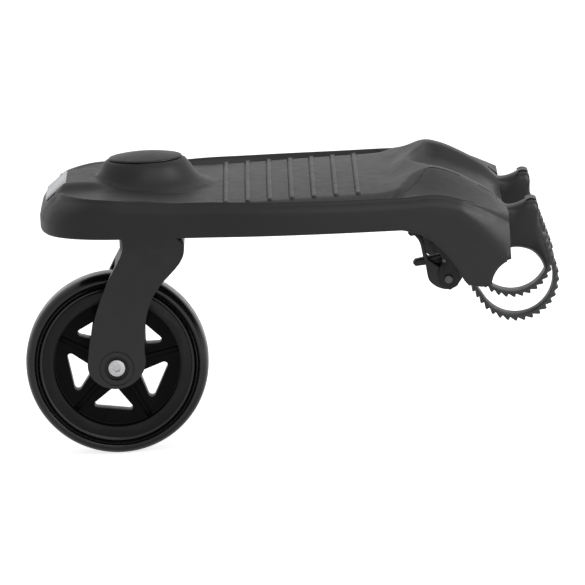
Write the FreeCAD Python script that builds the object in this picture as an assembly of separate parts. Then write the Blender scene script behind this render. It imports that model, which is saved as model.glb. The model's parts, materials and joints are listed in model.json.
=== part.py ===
import FreeCAD, Part
import math
import os
from FreeCAD import Vector

# A ride-on buggy board: a standing deck carried by one trailing caster wheel at the rear and
# strapped to a pushchair axle at the front. The axle's centre line is the origin, X runs forward,
# Z up, and the board is symmetric about Y = 0. All sizes are in millimetres.

# Main layout
AXLE_HEIGHT = 143.0         # pushchair axle above the ground
AXLE_RADIUS = 22.5          # largest axle tube that the saddles take
WHEELBASE = 328.0           # axle to caster wheel centre
TRAIL = 32.0                # kingpin ahead of the wheel centre
DECK_BOTTOM = 51.0          # underside of the deck above the axle
CROWN_ROOM = 44.0           # underside of the deck above the tyre
DECK_THICK = 28.3           # underside to foot surface, at the toe stop
DECK_HALF = 140.0           # half of the deck's greatest width
REAR_REACH = 87.0           # deck behind the kingpin
FRONT_BACK = 6.0            # deck's front edge behind the axle's centre line
WALL = 3.0
RUN_CLEAR = 0.05            # radial clearance of every running fit
FIT_CLEAR = 0.05            # clearance of screws and inlays in their seats
PART_GAP = 0.3              # between neighbours that don't touch

KINGPIN_X = TRAIL - WHEELBASE
WHEEL_X = -WHEELBASE
WHEEL_RADIUS = (AXLE_HEIGHT + DECK_BOTTOM - CROWN_ROOM) / 2
WHEEL_Z = WHEEL_RADIUS - AXLE_HEIGHT
FOOT = DECK_BOTTOM + DECK_THICK
DECK_FRONT = -FRONT_BACK
DECK_REAR = KINGPIN_X - REAR_REACH
FAR = 2.0 * DECK_HALF       # longer than any cut needs to be

# Deck moulding. Outline: distance from the rear edge, and how much narrower than DECK_HALF
OUTLINE = [(0.0, 100.0), (7.0, 67.0), (22.0, 46.0), (45.0, 32.0), (87.0, 23.0), (131.0, 15.5), (172.0, 7.5),
           (203.0, 3.5), (243.0, 0.8), (291.0, 0.0), (330.0, 0.3), (391.0, 3.0)]
DECK_RISE = 0.018           # rise of the foot surface per millimetre forward
SHOULDER = 7.0              # rounding between the foot surface and the side walls
FRONT_SHOULDER = 16.0       # the same at the front edge, across
FRONT_DROP = 31.0           # and down
SWELL_FROM = -64.0          # where the shoulder starts to grow
TAIL_RUN = 60.0             # length over which the tail rises
TAIL_EDGE = 5.0
TAIL_CROWN = 7.5
TAIL_HALF = 55.0
SLANT_TOP = (DECK_REAR + 22.5, FOOT + 8.7)   # sloping rear face that carries the reflector
SLANT_LOW = (DECK_REAR + 4.0, FOOT - 6.3)
REFLECTOR_HALF = 33.0

# Height of the deck's side edges over the foot surface, behind the toe stop
SIDE = [(-390.0, 2.2), (-356.0, 2.2), (-330.0, 3.2), (-306.0, 3.8), (-280.0, 3.2), (-252.0, 2.2),
        (-211.0, 0.2), (-180.0, -0.9), (-140.0, -2.2), (-104.0, -2.8), (-92.0, -2.9)]
GUTTER = 4.6                # depth of the channel between the foot surface and its raised edge
SIDE_RUN = 7.0              # width over which the surface rises from the channel to its edge

# Toe stop and front slope: height over FOOT of the two ridges and of the shoulders beside them
RIDGE_Y = DECK_HALF - 66.0
RIDGE = [(-116.0, -0.2), (-104.0, 0.0), (-92.0, 2.7), (-78.0, 8.7), (-66.0, 11.7), (-55.0, 9.4),
         (-44.0, 4.7), (-29.0, -3.8), (-17.0, -11.8), (-6.0, -22.8), (10.0, -36.3), (20.0, -41.3)]
EDGE = [(-116.0, -2.7), (-104.0, -2.8), (-92.0, -2.9), (-78.0, -2.4), (-67.0, -2.0), (-57.0, -3.1),
        (-47.0, -5.7), (-37.0, -8.9), (-27.0, -12.0), (-17.0, -16.0), (-7.0, -20.4),
        (10.0, -28.0), (20.0, -32.0)]
TOE_FROM = RIDGE[1][0]
TOE_BOW = 16.0              # the crest between the ridges bows back this far
TOE_SAG = 3.0               # and is this much lower in the middle
HOLLOW_DEEP = 5.5           # step down from the crest into the hollow
HOLLOW_FLAT = 36.0          # half width of the hollow's floor

# Claws of the side walls: distance behind the axle tube, and share of the drop from the deck
CLAW = [(69.5, 1.0), (59.5, 0.949), (48.5, 0.837), (38.5, 0.653), (27.5, 0.347), (20.0, 0.071)]
CLAW_TIP = 2.0              # lowest point of the claws above the axle's centre line
CLAW_TOE = 8.5              # width of the claws' foot behind the axle tube
NOTCH_CLEAR = 1.5           # the side walls stand back this far from the axle tube

# Grip strips
STRIP_COUNT = 7
STRIP_START = 65.0          # first strip ahead of the kingpin
STRIP_STOP = 20.8           # last strip behind the toe stop
STRIP_HALF = DECK_HALF - 36.0
STRIP_WIDTH = 3.2
STRIP_DEPTH = 1.2
STRIP_PROUD = 1.3
STRIP_FIRST = KINGPIN_X + STRIP_START
STRIP_PITCH = (TOE_FROM - STRIP_STOP - STRIP_FIRST) / (STRIP_COUNT - 1)

# Caster pivot. Dome: distance outside the cap, and share of the dome's height
DOME = [(34.0, 0.0), (25.0, 0.10), (16.0, 0.33), (9.0, 0.64), (4.5, 0.895), (1.5, 1.0)]
CAP_RISE = 19.7             # cap's seat over FOOT
CAP_RADIUS = 30.0
CAP_CROWN = 5.0
CAP_RIM = 1.6
CAP_SKIRT = 6.0
KINGPIN_RADIUS = 6.0
FLANGE = 2.0
CAP_SEAT = FOOT + CAP_RISE
CAP_BORE = CAP_RADIUS - 3.0
BUSH_RADIUS = KINGPIN_RADIUS + 3.0
FLANGE_RADIUS = KINGPIN_RADIUS + 7.0
BUSH_DEEP = 15.0
BOSS_RADIUS = BUSH_RADIUS + 6.0
BOSS_TOP = CAP_SEAT - 17.0

# Fork and wheel
TYRE_GAP = 7.0              # fork crown above the tyre
TYRE_HALF = 18.0
TYRE_DEEP = 14.0
LEG_GAP = 3.6               # fork leg beside the tyre
LEG_THICK = 13.4
CROWN_RADIUS = 25.0
BOLT_RADIUS = 4.0
BOLT_HEAD = 7.0
RECESS_DEPTH = 5.0
RIM_WALL = 9.0
BUSH_LONG = 14.0
DISC_HALF = 6.0
SPOKES = 5
SPOKE_TURN = -98.0          # direction of the first opening between two spokes
FORK_IN = TYRE_HALF + LEG_GAP
FORK_OUT = FORK_IN + LEG_THICK
CROWN_LOW = WHEEL_Z + WHEEL_RADIUS + TYRE_GAP
CROWN_TOP = DECK_BOTTOM - 2.0 * FLANGE
RECESS_RADIUS = BOLT_HEAD + 3.0
RING_RADIUS = RECESS_RADIUS + 4.5
SLEEVE_RADIUS = BOLT_RADIUS + 2.0
BUSH_OUT = SLEEVE_RADIUS + 3.0
HUB_RADIUS = BUSH_OUT + 6.0
HUB_HALF = FORK_IN - 1.0
RIM_RADIUS = WHEEL_RADIUS - TYRE_DEEP
RIM_INNER = RIM_RADIUS - RIM_WALL
RIM_HALF = TYRE_HALF - 2.0
# Edges of a leg: distance from the line wheel centre to crown, and share of that line's height
LEG_REAR = [(-21.0, 0.939), (-17.3, 0.852), (-20.4, 0.714), (-25.3, 0.529), (-27.5, 0.331), (-25.4, 0.087)]
LEG_FRONT = [(20.4, 0.096), (15.1, 0.354), (16.4, 0.489), (22.9, 0.61), (33.6, 0.762), (27.0, 0.939)]
LEG_FOOT = [(-17.0, -11.0), (-1.0, -17.0), (15.5, -11.0)]    # below the wheel centre

# Axle clamps: saddle with a hooked finger, toothed strap and ratchet, on each side
CLAMP_Y = RIDGE_Y
SADDLE_OUT = DECK_HALF - 7.0
SADDLE_IN = CLAMP_Y - 26.0
SADDLE_FLANGE = 6.0
STRAP_WIDE = 20.0
STRAP_THICK = 2.4
TOOTH_HIGH = 2.4
TOOTH_PITCH = 5.8
SMOOTH_RUN = 26.0           # plain length of strap before its first tooth
FINGER_WIDE = STRAP_WIDE + 8.0
FRAME_WIDE = STRAP_WIDE + 14.0
PAWL_WIDE = STRAP_WIDE - 8.0
CHEEK = 3.0
FLOOR = 3.5                 # ratchet floor under the strap
LEVER_WIDE = FRAME_WIDE - 2.0 * (CHEEK + PART_GAP)
LEVER_THICK = 3.0
CAM_RADIUS = 9.0
EYE_RADIUS = 5.5
PIN_RADIUS = 2.5
PAWL_PIN_RADIUS = 1.75
PAWL_HUB = 2.0 * PAWL_PIN_RADIUS
SCREW_RADIUS = 1.6
SCREW_HEAD = 3.4
HEAD_HIGH = 2.2
SCREW_POST = 5.0            # radius of the bosses that take the screws
PIVOT = (DECK_FRONT + 20.0, DECK_BOTTOM + 5.0)     # strap hinge in the finger
LOOP_RADIUS = AXLE_RADIUS + 7.5
LOOPS = {"right": (-1.0, -2.0), "left": (2.0, -9.0)}    # loop centres; the left strap is slacker
TAIL_STEP = 43.36
TAIL_RADIUS = LOOP_RADIUS + TAIL_STEP    # the strap's end runs on a circle about its hinge
TAIL_END = 208.5


def polar(centre, radius, degrees):
    a = math.radians(degrees)
    return (centre[0] + radius * math.cos(a), centre[1] + radius * math.sin(a))


LEVER_PIN = polar(PIVOT, TAIL_RADIUS + 14.96, 218.1)
PAWL_PIN = polar(PIVOT, TAIL_RADIUS + 9.0, 208.5)
FLANGE_LOW = DECK_BOTTOM - 1.0 - SADDLE_FLANGE     # underside of the saddle's flange
RATCHET_SCREW_X = LEVER_PIN[0] - 0.5
RATCHET_SCREW_Y = (-CLAMP_Y - 9.0, -CLAMP_Y + 9.0)
SADDLE_SCREWS = [(LEVER_PIN[0] + 7.5, -SADDLE_OUT + 11.0), (LEVER_PIN[0] + 7.5, -SADDLE_IN - 5.0)]
BASE_FRONT = -AXLE_RADIUS - CLAW[0][0] - 6.0
BASE_SCREWS = [(DECK_REAR + 31.0, DECK_HALF - 80.0), (KINGPIN_X + 60.0, DECK_HALF - 42.0),
               (BASE_FRONT - 30.0, DECK_HALF - 28.0)]
# Points of the clamp's small parts, counted from the pin that each is drawn around
KEEPER = [(-3.7, 5.2), (-3.7, 8.2), (0.0, 9.0), (4.2, 8.0), (7.4, 5.2), (6.0, 3.8), (3.7, 5.3), (0.0, 6.3)]
MOUTH = [(-1.2, -3.0), (19.5, -75.0), (60.0, 0.0), (60.0, 9.5), (-3.7, 9.5), (-3.7, 3.0)]
CHEEK_LINE = [(-9.0, 27.0), (-4.0, 15.0), (-8.5, 5.0), (-6.0, -5.0), (0.5, -9.0), (6.5, -6.0),
              (13.5, 4.0), (10.0, 15.0), (4.5, 28.0)]
LEVER_LINE = [(-35.5, 43.5), (-27.5, 38.0), (-22.3, 31.5), (-20.1, 21.0), (-17.5, 9.5), (-15.5, -1.0),
              (-11.5, -5.2), (2.5, -8.8)]
LEVER_EAR = [(-19.5, 19.0), (-10.5, 12.0), (-2.5, 6.7), (5.0, 4.0), (6.5, -5.0), (2.5, -8.5),
             (-11.0, -5.0), (-15.0, -1.0), (-17.0, 9.5)]
PAWL_TAB = [(0.0, 3.4), (-13.5, 1.0), (-23.0, -0.7), (-25.0, -3.0), (-23.0, -5.3), (-13.5, -4.5), (-0.5, -3.4)]


def smooth(t):
    t = max(0.0, min(1.0, t))
    return t * t * (3.0 - 2.0 * t)


def along(points, x):
    """Height at x of the smooth curve through a list of (x, z) points."""
    last = len(points) - 2
    i = 0
    while i < last and x > points[i + 1][0]:
        i += 1

    def slope(k):
        a = points[max(k - 1, 0)]
        b = points[min(k + 1, last + 1)]
        return (b[1] - a[1]) / (b[0] - a[0])

    (x0, z0), (x1, z1) = points[i], points[i + 1]
    h = x1 - x0
    t = (x - x0) / h
    rise = z0 * (1 + 2 * t) * (1 - t) ** 2 + z1 * t * t * (3 - 2 * t)
    return rise + h * (slope(i) * t * (1 - t) ** 2 - slope(i + 1) * t * t * (1 - t))


def half_width(x):
    return DECK_HALF - along(OUTLINE, x - DECK_REAR)


def shoulder(x):
    """Rounding of the deck's upper edge at x, across and down."""
    grow = max(0.0, min(1.0, (x - SWELL_FROM) / (DECK_FRONT - SWELL_FROM))) ** 1.3
    return SHOULDER + (FRONT_SHOULDER - SHOULDER) * grow, SHOULDER + (FRONT_DROP - SHOULDER) * grow


def foot_height(x):
    return FOOT - DECK_RISE * (TOE_FROM - x)


def toe_height(x, y):
    """Height over FOOT of the toe stop: two ridges, and a crest between them that bows backward."""
    inward = 1.0 - smooth(y / RIDGE_Y)
    x += TOE_BOW * inward * (1.0 - smooth((x + 75.0) / 45.0))
    sag = TOE_SAG * inward * smooth((x - TOE_FROM) / 30.0)
    step = smooth((x + 66.0) / 12.0) * (1.0 - smooth((y - HOLLOW_FLAT) / 31.0))
    return along(RIDGE, x) - sag - HOLLOW_DEEP * step


def top_height(x, y):
    """Height of the deck's upper surface, without the caster dome."""
    a = abs(y)
    crest = half_width(x) - shoulder(x)[0]
    low = crest - SIDE_RUN
    brink = min(STRIP_HALF - 1.0, low - 8.0)
    fade = smooth((x - KINGPIN_X + 40.0) / 40.0) * (1.0 - smooth((x - TOE_FROM) / 20.0))
    channel = GUTTER * fade * smooth((a - brink) / (low - brink)) * (1.0 - smooth((a - low) / SIDE_RUN))
    if x > TOE_FROM:
        turn = low + (RIDGE_Y - low) * smooth((x - TOE_FROM) / 26.0)
        side = smooth((a - turn) / (crest - turn))
        ridge = toe_height(x, min(a, RIDGE_Y))
        return FOOT + ridge + (along(EDGE, x) - ridge) * side - channel
    tail = smooth((KINGPIN_X - 4.0 - x) / TAIL_RUN)
    crown = TAIL_EDGE + TAIL_CROWN * math.exp(-(y / TAIL_HALF) ** 2)
    return foot_height(x) + tail * crown + along(SIDE, x) * smooth((a - low) / SIDE_RUN) - channel


def box(x0, x1, y0, y1, z0, z1):
    return Part.makeBox(x1 - x0, y1 - y0, z1 - z0, Vector(x0, y0, z0))


def rod(centre, radius, y0, y1):
    """Cylinder along Y."""
    return Part.makeCylinder(radius, y1 - y0, Vector(centre[0], y0, centre[1]), Vector(0, 1, 0))


def post(x, y, radius, z0, z1):
    """Cylinder along Z."""
    return Part.makeCylinder(radius, z1 - z0, Vector(x, y, z0), Vector(0, 0, 1))


def spline(points, start=None, end=None):
    curve = Part.BSplineCurve()
    if start is None:
        curve.interpolate(points)
    else:
        curve.interpolate(Points=points, InitialTangent=start, FinalTangent=end)
    return curve.toShape()


def lines(points):
    return [Part.makeLine(a, b) for a, b in zip(points, points[1:])]


def flat(points):
    return [Vector(x, 0, z) for x, z in points]


def around(centre, points):
    return [(centre[0] + x, centre[1] + z) for x, z in points]


def plate(points, y0, y1):
    """Straight-sided outline in the XZ plane, y0 to y1."""
    corners = [Vector(x, y0, z) for x, z in points]
    face = Part.Face(Part.makePolygon(corners + corners[:1]))
    return face.extrude(Vector(0, y1 - y0, 0))


def face_of(edges):
    return Part.Face(Part.Wire(Part.__sortEdges__(edges)))


def slab(edges, y0, y1):
    """Outline of edges drawn in the plane Y = 0, thick from y0 to y1."""
    face = face_of(edges)
    face.translate(Vector(0, y0, 0))
    return face.extrude(Vector(0, y1 - y0, 0))


def about_kingpin(face):
    return face.revolve(Vector(KINGPIN_X, 0, 0), Vector(0, 0, 1), 360)


def about_axle(face):
    return face.revolve(Vector(WHEEL_X, 0, WHEEL_Z), Vector(0, 1, 0), 360)


def turned(points):
    """Solid of revolution about the kingpin; points are (radius, z)."""
    corners = [Vector(KINGPIN_X + r, 0, z) for r, z in points]
    return about_kingpin(Part.Face(Part.makePolygon(corners + corners[:1])))


def ring(inner, outer, z0, z1):
    return turned([(inner, z0), (outer, z0), (outer, z1), (inner, z1)])


def spun(points):
    """Solid of revolution about the wheel axis; points are (radius, y)."""
    corners = [Vector(WHEEL_X + r, y, WHEEL_Z) for r, y in points]
    return about_axle(Part.Face(Part.makePolygon(corners + corners[:1])))


def tube(inner, outer, y0, y1):
    """Tube on the wheel axis."""
    return spun([(inner, y0), (outer, y0), (outer, y1), (inner, y1)])


def mirror(shape):
    return shape.mirror(Vector(0, 0, 0), Vector(0, 1, 0))


def pair(shape):
    return Part.makeCompound([shape, mirror(shape)])


def on_side(shape, side):
    """Shapes are drawn on the right (negative Y) side."""
    return shape if side == "right" else mirror(shape)


def join(shapes):
    return shapes[0].multiFuse(shapes[1:]).removeSplitter()


def both_sides(points):
    return [(x, s * y) for x, y in points for s in (-1, 1)]


def screws(points, z_head, z_end):
    """Upright screws whose pan heads hang below z_head."""
    made = []
    for x, y in points:
        shank = post(x, y, SCREW_RADIUS, z_head - 0.1, z_end)
        made.append(join([shank, post(x, y, SCREW_HEAD, z_head - HEAD_HIGH, z_head)]))
    return Part.makeCompound(made)


def screw_holes(points, z0, z1):
    return [post(x, y, SCREW_RADIUS + FIT_CLEAR, z0, z1) for x, y in points]


ACROSS = (0.0, 0.12, 0.24, 0.36, 0.47, 0.57, 0.66, 0.74, 0.80, 0.85, 0.89, 0.92, 0.95, 0.98)


def moulding(inset, front):
    """Deck block with rounded shoulders, moved inward by inset; it reaches far below the deck."""
    rear = DECK_REAR + inset
    stations = [rear + d for d in (0, 3, 7, 13, 21, 32, 45)]
    while stations[-1] < front - 7:
        step = 11.0 if stations[-1] < TOE_FROM - 16.0 else 8.0
        stations.append(min(stations[-1] + step, front))
    stations[-1] = front
    low = CLAW_TIP - 12.0 - inset
    rows = []
    for x in stations:
        half = half_width(x - inset) - inset
        across, down = (r - inset / 2 for r in shoulder(x))
        crest = half - across
        wing = []
        for share in ACROSS:
            wing.append((crest * share, top_height(x, crest * share) - inset))
        edge = top_height(x, crest) - inset
        for k in range(7):
            a = math.radians(15.0 * k)
            wing.append((crest + across * math.sin(a), edge - down * (1 - math.cos(a))))
        for k in range(1, 5):
            wing.append((half, edge - down + (low - edge + down) * (k / 4) ** 2))
        near = [Vector(x, -y, z) for y, z in reversed(wing[1:])]
        rows.append(near + [Vector(x, y, z) for y, z in wing])
    m, n = len(rows), len(rows[0])
    surface = Part.BSplineSurface()
    surface.buildFromPolesMultsKnots(rows, [4] + [1] * (m - 4) + [4], [4] + [1] * (n - 4) + [4],
                                     list(range(m - 2)), list(range(n - 2)), False, False, 3, 3)
    skin = surface.toShape()
    caps = []
    for row in (rows[0], rows[-1]):
        rim = min(skin.Edges, key=lambda e: abs(e.BoundBox.XMin - row[0].x) + abs(e.BoundBox.XMax - row[0].x))
        chord = Part.makeLine(rim.Vertexes[-1].Point, rim.Vertexes[0].Point)
        caps.append(Part.Face(Part.Wire([rim, chord])))
    hems = [e for e in skin.Edges if e.BoundBox.ZMax < low + 0.1]
    hems += [Part.makeLine(row[0], row[-1]) for row in (rows[0], rows[-1])]
    shell = Part.makeShell([skin, face_of(hems)] + caps)
    shell.sewShape()
    return Part.makeSolid(shell)


def dome(drop):
    """Caster dome that flares into the deck, moved inward by drop."""
    base = foot_height(KINGPIN_X) - 0.65
    flank = []
    for out, share in DOME:
        z = base + (CAP_SEAT - base) * share
        flank.append(Vector(KINGPIN_X + CAP_RADIUS + out - drop, 0, z - drop))
    curve = spline(flank, Vector(-1, 0, 0.02), Vector(-1, 0, 0.7))
    low = DECK_BOTTOM + 3.0 * WALL
    corners = [flank[-1], Vector(KINGPIN_X, 0, flank[-1].z), Vector(KINGPIN_X, 0, low),
               Vector(flank[0].x, 0, low), flank[0]]
    return about_kingpin(face_of([curve] + lines(corners)))


def side_profile():
    """Everything the deck may fill in side view: box at the rear, two claws at the front."""
    drop = DECK_BOTTOM - CLAW_TIP
    points = [(-AXLE_RADIUS - out, CLAW_TIP + drop * share) for out, share in CLAW]
    claw = spline(flat(points), Vector(1, 0, 0), Vector(0.5, 0, -1))
    notch = AXLE_RADIUS + NOTCH_CLEAR
    tip = (-math.sqrt(notch ** 2 - CLAW_TIP ** 2), CLAW_TIP)
    end = (DECK_FRONT, math.sqrt(notch ** 2 - DECK_FRONT ** 2))
    arc = Part.Arc(*flat([tip, polar((0.0, 0.0), notch, 140.0), end])).toShape()
    heel = flat([points[-1], (-AXLE_RADIUS - CLAW_TOE, CLAW_TIP), tip])
    high = CAP_SEAT + FAR
    back = DECK_REAR - 5.0
    loop = flat([end, (DECK_FRONT, high), (back, high), (back, DECK_BOTTOM), points[0]])
    return slab([claw, arc] + lines(heel) + lines(loop), -FAR, FAR)


def behind_slant(inset):
    """Everything behind the sloping rear face, which is moved inward by inset."""
    (x0, z0), (x1, z1) = SLANT_LOW, SLANT_TOP
    run = Vector(x1 - x0, 0, z1 - z0)
    shift = Vector(run.z, 0, -run.x) * (inset / run.Length)
    low = Vector(x0, 0, z0) - run * 2 + shift
    top = Vector(x1, 0, z1) + run * 3 + shift
    return plate([(low.x, low.z), (top.x, top.z), (low.x, top.z)], -FAR, FAR)


def deck_body():
    body = moulding(0.0, DECK_FRONT + 10.0).common(side_profile()).cut(behind_slant(0.0))
    return body.fuse(dome(0.0)).removeSplitter()


def strips(grow, extra):
    """Round-ended bars across the deck."""
    half = STRIP_WIDTH / 2 + grow
    end = STRIP_HALF - STRIP_WIDTH / 2
    bars = []
    for i in range(STRIP_COUNT):
        x = STRIP_FIRST + STRIP_PITCH * i
        z0 = top_height(x, 0) - STRIP_DEPTH - grow
        z1 = top_height(x, 0) + STRIP_PROUD + extra
        bar = box(x - half, x + half, -end, end, z0, z1)
        bars.append(join([bar, post(x, -end, half, z0, z1), post(x, end, half, z0, z1)]))
    return Part.makeCompound(bars)


def reflector_plate(grow, thick):
    """Flat panel lying in the sloping rear face."""
    (x0, z0), (x1, z1) = SLANT_LOW, SLANT_TOP
    run = math.hypot(x1 - x0, z1 - z0)
    half = REFLECTOR_HALF + grow
    panel = box(-run / 2 + 1.5 - grow, run / 2 - 1.0 + grow, -half, half, -1.0 - grow, thick)
    panel.rotate(Vector(0, 0, 0), Vector(0, 1, 0), -math.degrees(math.atan2(z1 - z0, x1 - x0)))
    panel.translate(Vector((x0 + x1) / 2, 0, (z0 + z1) / 2))
    return panel


def deck_shell(body):
    cavity = moulding(WALL, DECK_FRONT - WALL).cut(behind_slant(WALL)).fuse(dome(WALL))
    base_points = both_sides(BASE_SCREWS)
    saddle_points = both_sides(SADDLE_SCREWS)
    posts = [post(x, y, SCREW_POST, DECK_BOTTOM + WALL, CAP_SEAT) for x, y in base_points]
    posts += [post(x, y, SCREW_POST, DECK_BOTTOM - 1.0, CAP_SEAT) for x, y in saddle_points]
    shell = body.cut(cavity).fuse(join(posts).common(body))
    half = FINGER_WIDE / 2 + PART_GAP
    behind, ahead = DECK_FRONT - 8.0, DECK_FRONT + 1.0
    cuts = [post(KINGPIN_X, 0, CAP_BORE, BOSS_TOP + 3.0, CAP_SEAT + FAR), reflector_plate(FIT_CLEAR, 5.0)]
    cuts.append(box(behind, ahead, -SADDLE_IN + WALL, SADDLE_IN - WALL, -FAR, AXLE_RADIUS + 7.5))
    for y in (-CLAMP_Y, CLAMP_Y):
        cuts.append(box(behind, ahead, y - half, y + half, 0.0, FOOT))
    cuts += screw_holes(base_points + saddle_points, FLANGE_LOW, DECK_BOTTOM + 15.0)
    return shell.cut(join(cuts)).cut(strips(FIT_CLEAR, 1.0)).removeSplitter()


def deck_base():
    """Underside cover with the kingpin housing."""
    low, top = DECK_BOTTOM, FOOT - 9.3
    cover = moulding(WALL + PART_GAP, BASE_FRONT).common(box(-FAR * 3, BASE_FRONT, -FAR, FAR, low, low + WALL))
    wide = STRIP_HALF - 2.0
    pieces = [cover, box(BASE_FRONT - WALL, BASE_FRONT, -wide, wide, low, top + 2.0),
              post(KINGPIN_X, 0, BOSS_RADIUS, low, BOSS_TOP)]
    for y in (-32.0, 32.0):
        pieces.append(box(DECK_REAR + 11.0, BASE_FRONT - 1.0, y - WALL / 2, y + WALL / 2, low, top))
    for share in (0.0, 0.43, 0.74):
        x = KINGPIN_X + share * (BASE_FRONT - KINGPIN_X)
        pieces.append(box(x - WALL / 2, x + WALL / 2, -wide + 14.0, wide - 14.0, low, top))
    points = both_sides(BASE_SCREWS)
    cuts = [post(KINGPIN_X, 0, BUSH_RADIUS, low - 1.0, BOSS_TOP + 1.0)]
    cuts += screw_holes(points, low - 1.0, low + 2.0 * WALL)
    cuts += [post(x, y, SCREW_HEAD + 0.2, low - 1.0, low + 1.2) for x, y in points]
    return join(pieces).cut(join(cuts))


def pivot_cap():
    """Shallow domed cap with a skirt that goes into the deck."""
    top = CAP_SEAT + CAP_CROWN
    edge = CAP_SEAT + CAP_RIM
    ball = (CAP_RADIUS ** 2 + (top - edge) ** 2) / (2 * (top - edge))
    half = CAP_RADIUS / 2
    middle = (half, top - ball + math.sqrt(ball ** 2 - half ** 2))
    arc = Part.Arc(*flat(around((KINGPIN_X, 0.0), [(CAP_RADIUS, edge), middle, (0.0, top)]))).toShape()
    under = CAP_SEAT + 1.5
    foot = CAP_SEAT - CAP_SKIRT
    skirt = CAP_BORE - 0.1
    corners = [(0.0, top), (0.0, under), (skirt - WALL, under), (skirt - WALL, foot), (skirt, foot),
               (skirt, CAP_SEAT), (CAP_RADIUS, CAP_SEAT), (CAP_RADIUS, edge)]
    return about_kingpin(face_of([arc] + lines(flat(around((KINGPIN_X, 0.0), corners)))))


def kingpin_bush(z_face, up):
    """Flanged bush in the housing; the flange lies outside z_face."""
    bore = KINGPIN_RADIUS + RUN_CLEAR
    inner = z_face - up * BUSH_DEEP
    outer = z_face + up * FLANGE
    return turned([(bore, inner), (BUSH_RADIUS, inner), (BUSH_RADIUS, z_face), (FLANGE_RADIUS, z_face),
                   (FLANGE_RADIUS, outer), (bore, outer)])


def leg_points(points):
    """Points of a leg's edge: the line from wheel centre to crown leans forward by TRAIL."""
    reach = CROWN_TOP - WHEEL_Z
    return [(WHEEL_X + TRAIL * share + out, WHEEL_Z + reach * share) for out, share in points]


def fork():
    rear, front = leg_points(LEG_REAR), leg_points(LEG_FRONT)
    foot = rear[-1:] + around((WHEEL_X, WHEEL_Z), LEG_FOOT) + front[:1]
    edges = [spline(flat(rear)), spline(flat(foot)), spline(flat(front))] + lines(flat([rear[0], front[-1]]))
    legs = slab(edges, -FORK_OUT, FORK_OUT)
    low = box(WHEEL_X - FAR, KINGPIN_X + FAR, -FORK_OUT, FORK_OUT, -FAR, CROWN_LOW + 8.0)
    neck = turned([(0.0, CROWN_LOW - 4.0), (CROWN_RADIUS + 19.0, CROWN_LOW - 4.0),
                   (CROWN_RADIUS + 9.0, CROWN_LOW + 16.0), (CROWN_RADIUS + 3.0, CROWN_LOW + 26.0),
                   (0.0, CROWN_LOW + 26.0)])
    crown = post(KINGPIN_X, 0, CROWN_RADIUS, CROWN_LOW + 6.0, CROWN_TOP)
    body = legs.common(join([low, neck])).fuse(crown).removeSplitter()
    axle = (WHEEL_X, WHEEL_Z)
    cuts = [box(WHEEL_X - FAR, KINGPIN_X + FAR, -FORK_IN, FORK_IN, -FAR, CROWN_LOW),
            post(KINGPIN_X, 0, KINGPIN_RADIUS, CROWN_LOW - 10.0, CROWN_TOP + 10.0),
            rod(axle, BOLT_RADIUS + FIT_CLEAR, -FAR, FAR)]
    for y in (-FORK_OUT, FORK_OUT):
        cuts.append(rod(axle, RECESS_RADIUS, y - RECESS_DEPTH, y + RECESS_DEPTH))
        cuts.append(tube(RING_RADIUS - 1.2, RING_RADIUS, y - 1.2, y + 1.2))
    for cut in cuts:
        body = body.cut(cut)
    return body


def nut(x, flats, z0, z1, radius):
    """Hexagon nut on an upright axis."""
    corners = []
    for i in range(6):
        px, py = polar((x, 0.0), flats / math.sqrt(3), 60.0 * i + 30.0)
        corners.append(Vector(px, py, z0))
    body = Part.Face(Part.makePolygon(corners + corners[:1])).extrude(Vector(0, 0, z1 - z0))
    return body.cut(post(x, 0, radius, z0 - 1.0, z1 + 1.0))


def spoke_openings():
    """Three-cornered openings with rounded corners between the spokes."""
    holes = []
    for i in range(SPOKES):
        turn = SPOKE_TURN + 360.0 / SPOKES * i
        corners = []
        for radius, swing in ((HUB_RADIUS + 4.0, 0.0), (RIM_INNER - 8.0, 27.0), (RIM_INNER - 8.0, -27.0)):
            x, z = polar((WHEEL_X, WHEEL_Z), radius, turn + swing)
            corners.append(Vector(x, -HUB_HALF, z))
        opening = Part.Face(Part.makePolygon(corners + corners[:1])).extrude(Vector(0, 2 * HUB_HALF, 0))
        uprights = [e for e in opening.Edges if e.BoundBox.YLength > HUB_HALF]
        holes.append(opening.makeFillet(3.0, uprights))
    return Part.makeCompound(holes)


def wheel_rim():
    """Moulded rim: barrel, spoked disc and hub."""
    barrel = tube(RIM_INNER, RIM_RADIUS, -RIM_HALF, RIM_HALF)
    thick = DISC_HALF + 4.0
    disc = spun([(BUSH_OUT, -thick), (HUB_RADIUS + 6.0, -thick), (RIM_INNER + 1.0, -DISC_HALF),
                 (RIM_INNER + 1.0, DISC_HALF), (HUB_RADIUS + 6.0, thick), (BUSH_OUT, thick)])
    hub = tube(BUSH_OUT, HUB_RADIUS, -HUB_HALF, HUB_HALF)
    return join([barrel, disc, hub]).cut(spoke_openings())


def tyre():
    """Solid tyre: a rounded tread over a flat seat on the rim."""
    half = [(WHEEL_RADIUS - 9.0, RIM_HALF), (WHEEL_RADIUS - 6.5, TYRE_HALF),
            (WHEEL_RADIUS - 3.0, TYRE_HALF - 2.0),
            (WHEEL_RADIUS - 0.8, TYRE_HALF - 6.0), (WHEEL_RADIUS, TYRE_HALF - 12.0)]
    near = [Vector(WHEEL_X + r, -y, WHEEL_Z) for r, y in half]
    tread = near + [Vector(p.x, -p.y, p.z) for p in reversed(near)]
    seat = [Vector(WHEEL_X + RIM_RADIUS, y, WHEEL_Z) for y in (RIM_HALF, -RIM_HALF)]
    return about_axle(face_of([spline(tread)] + lines([tread[-1]] + seat + [tread[0]])))


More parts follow.
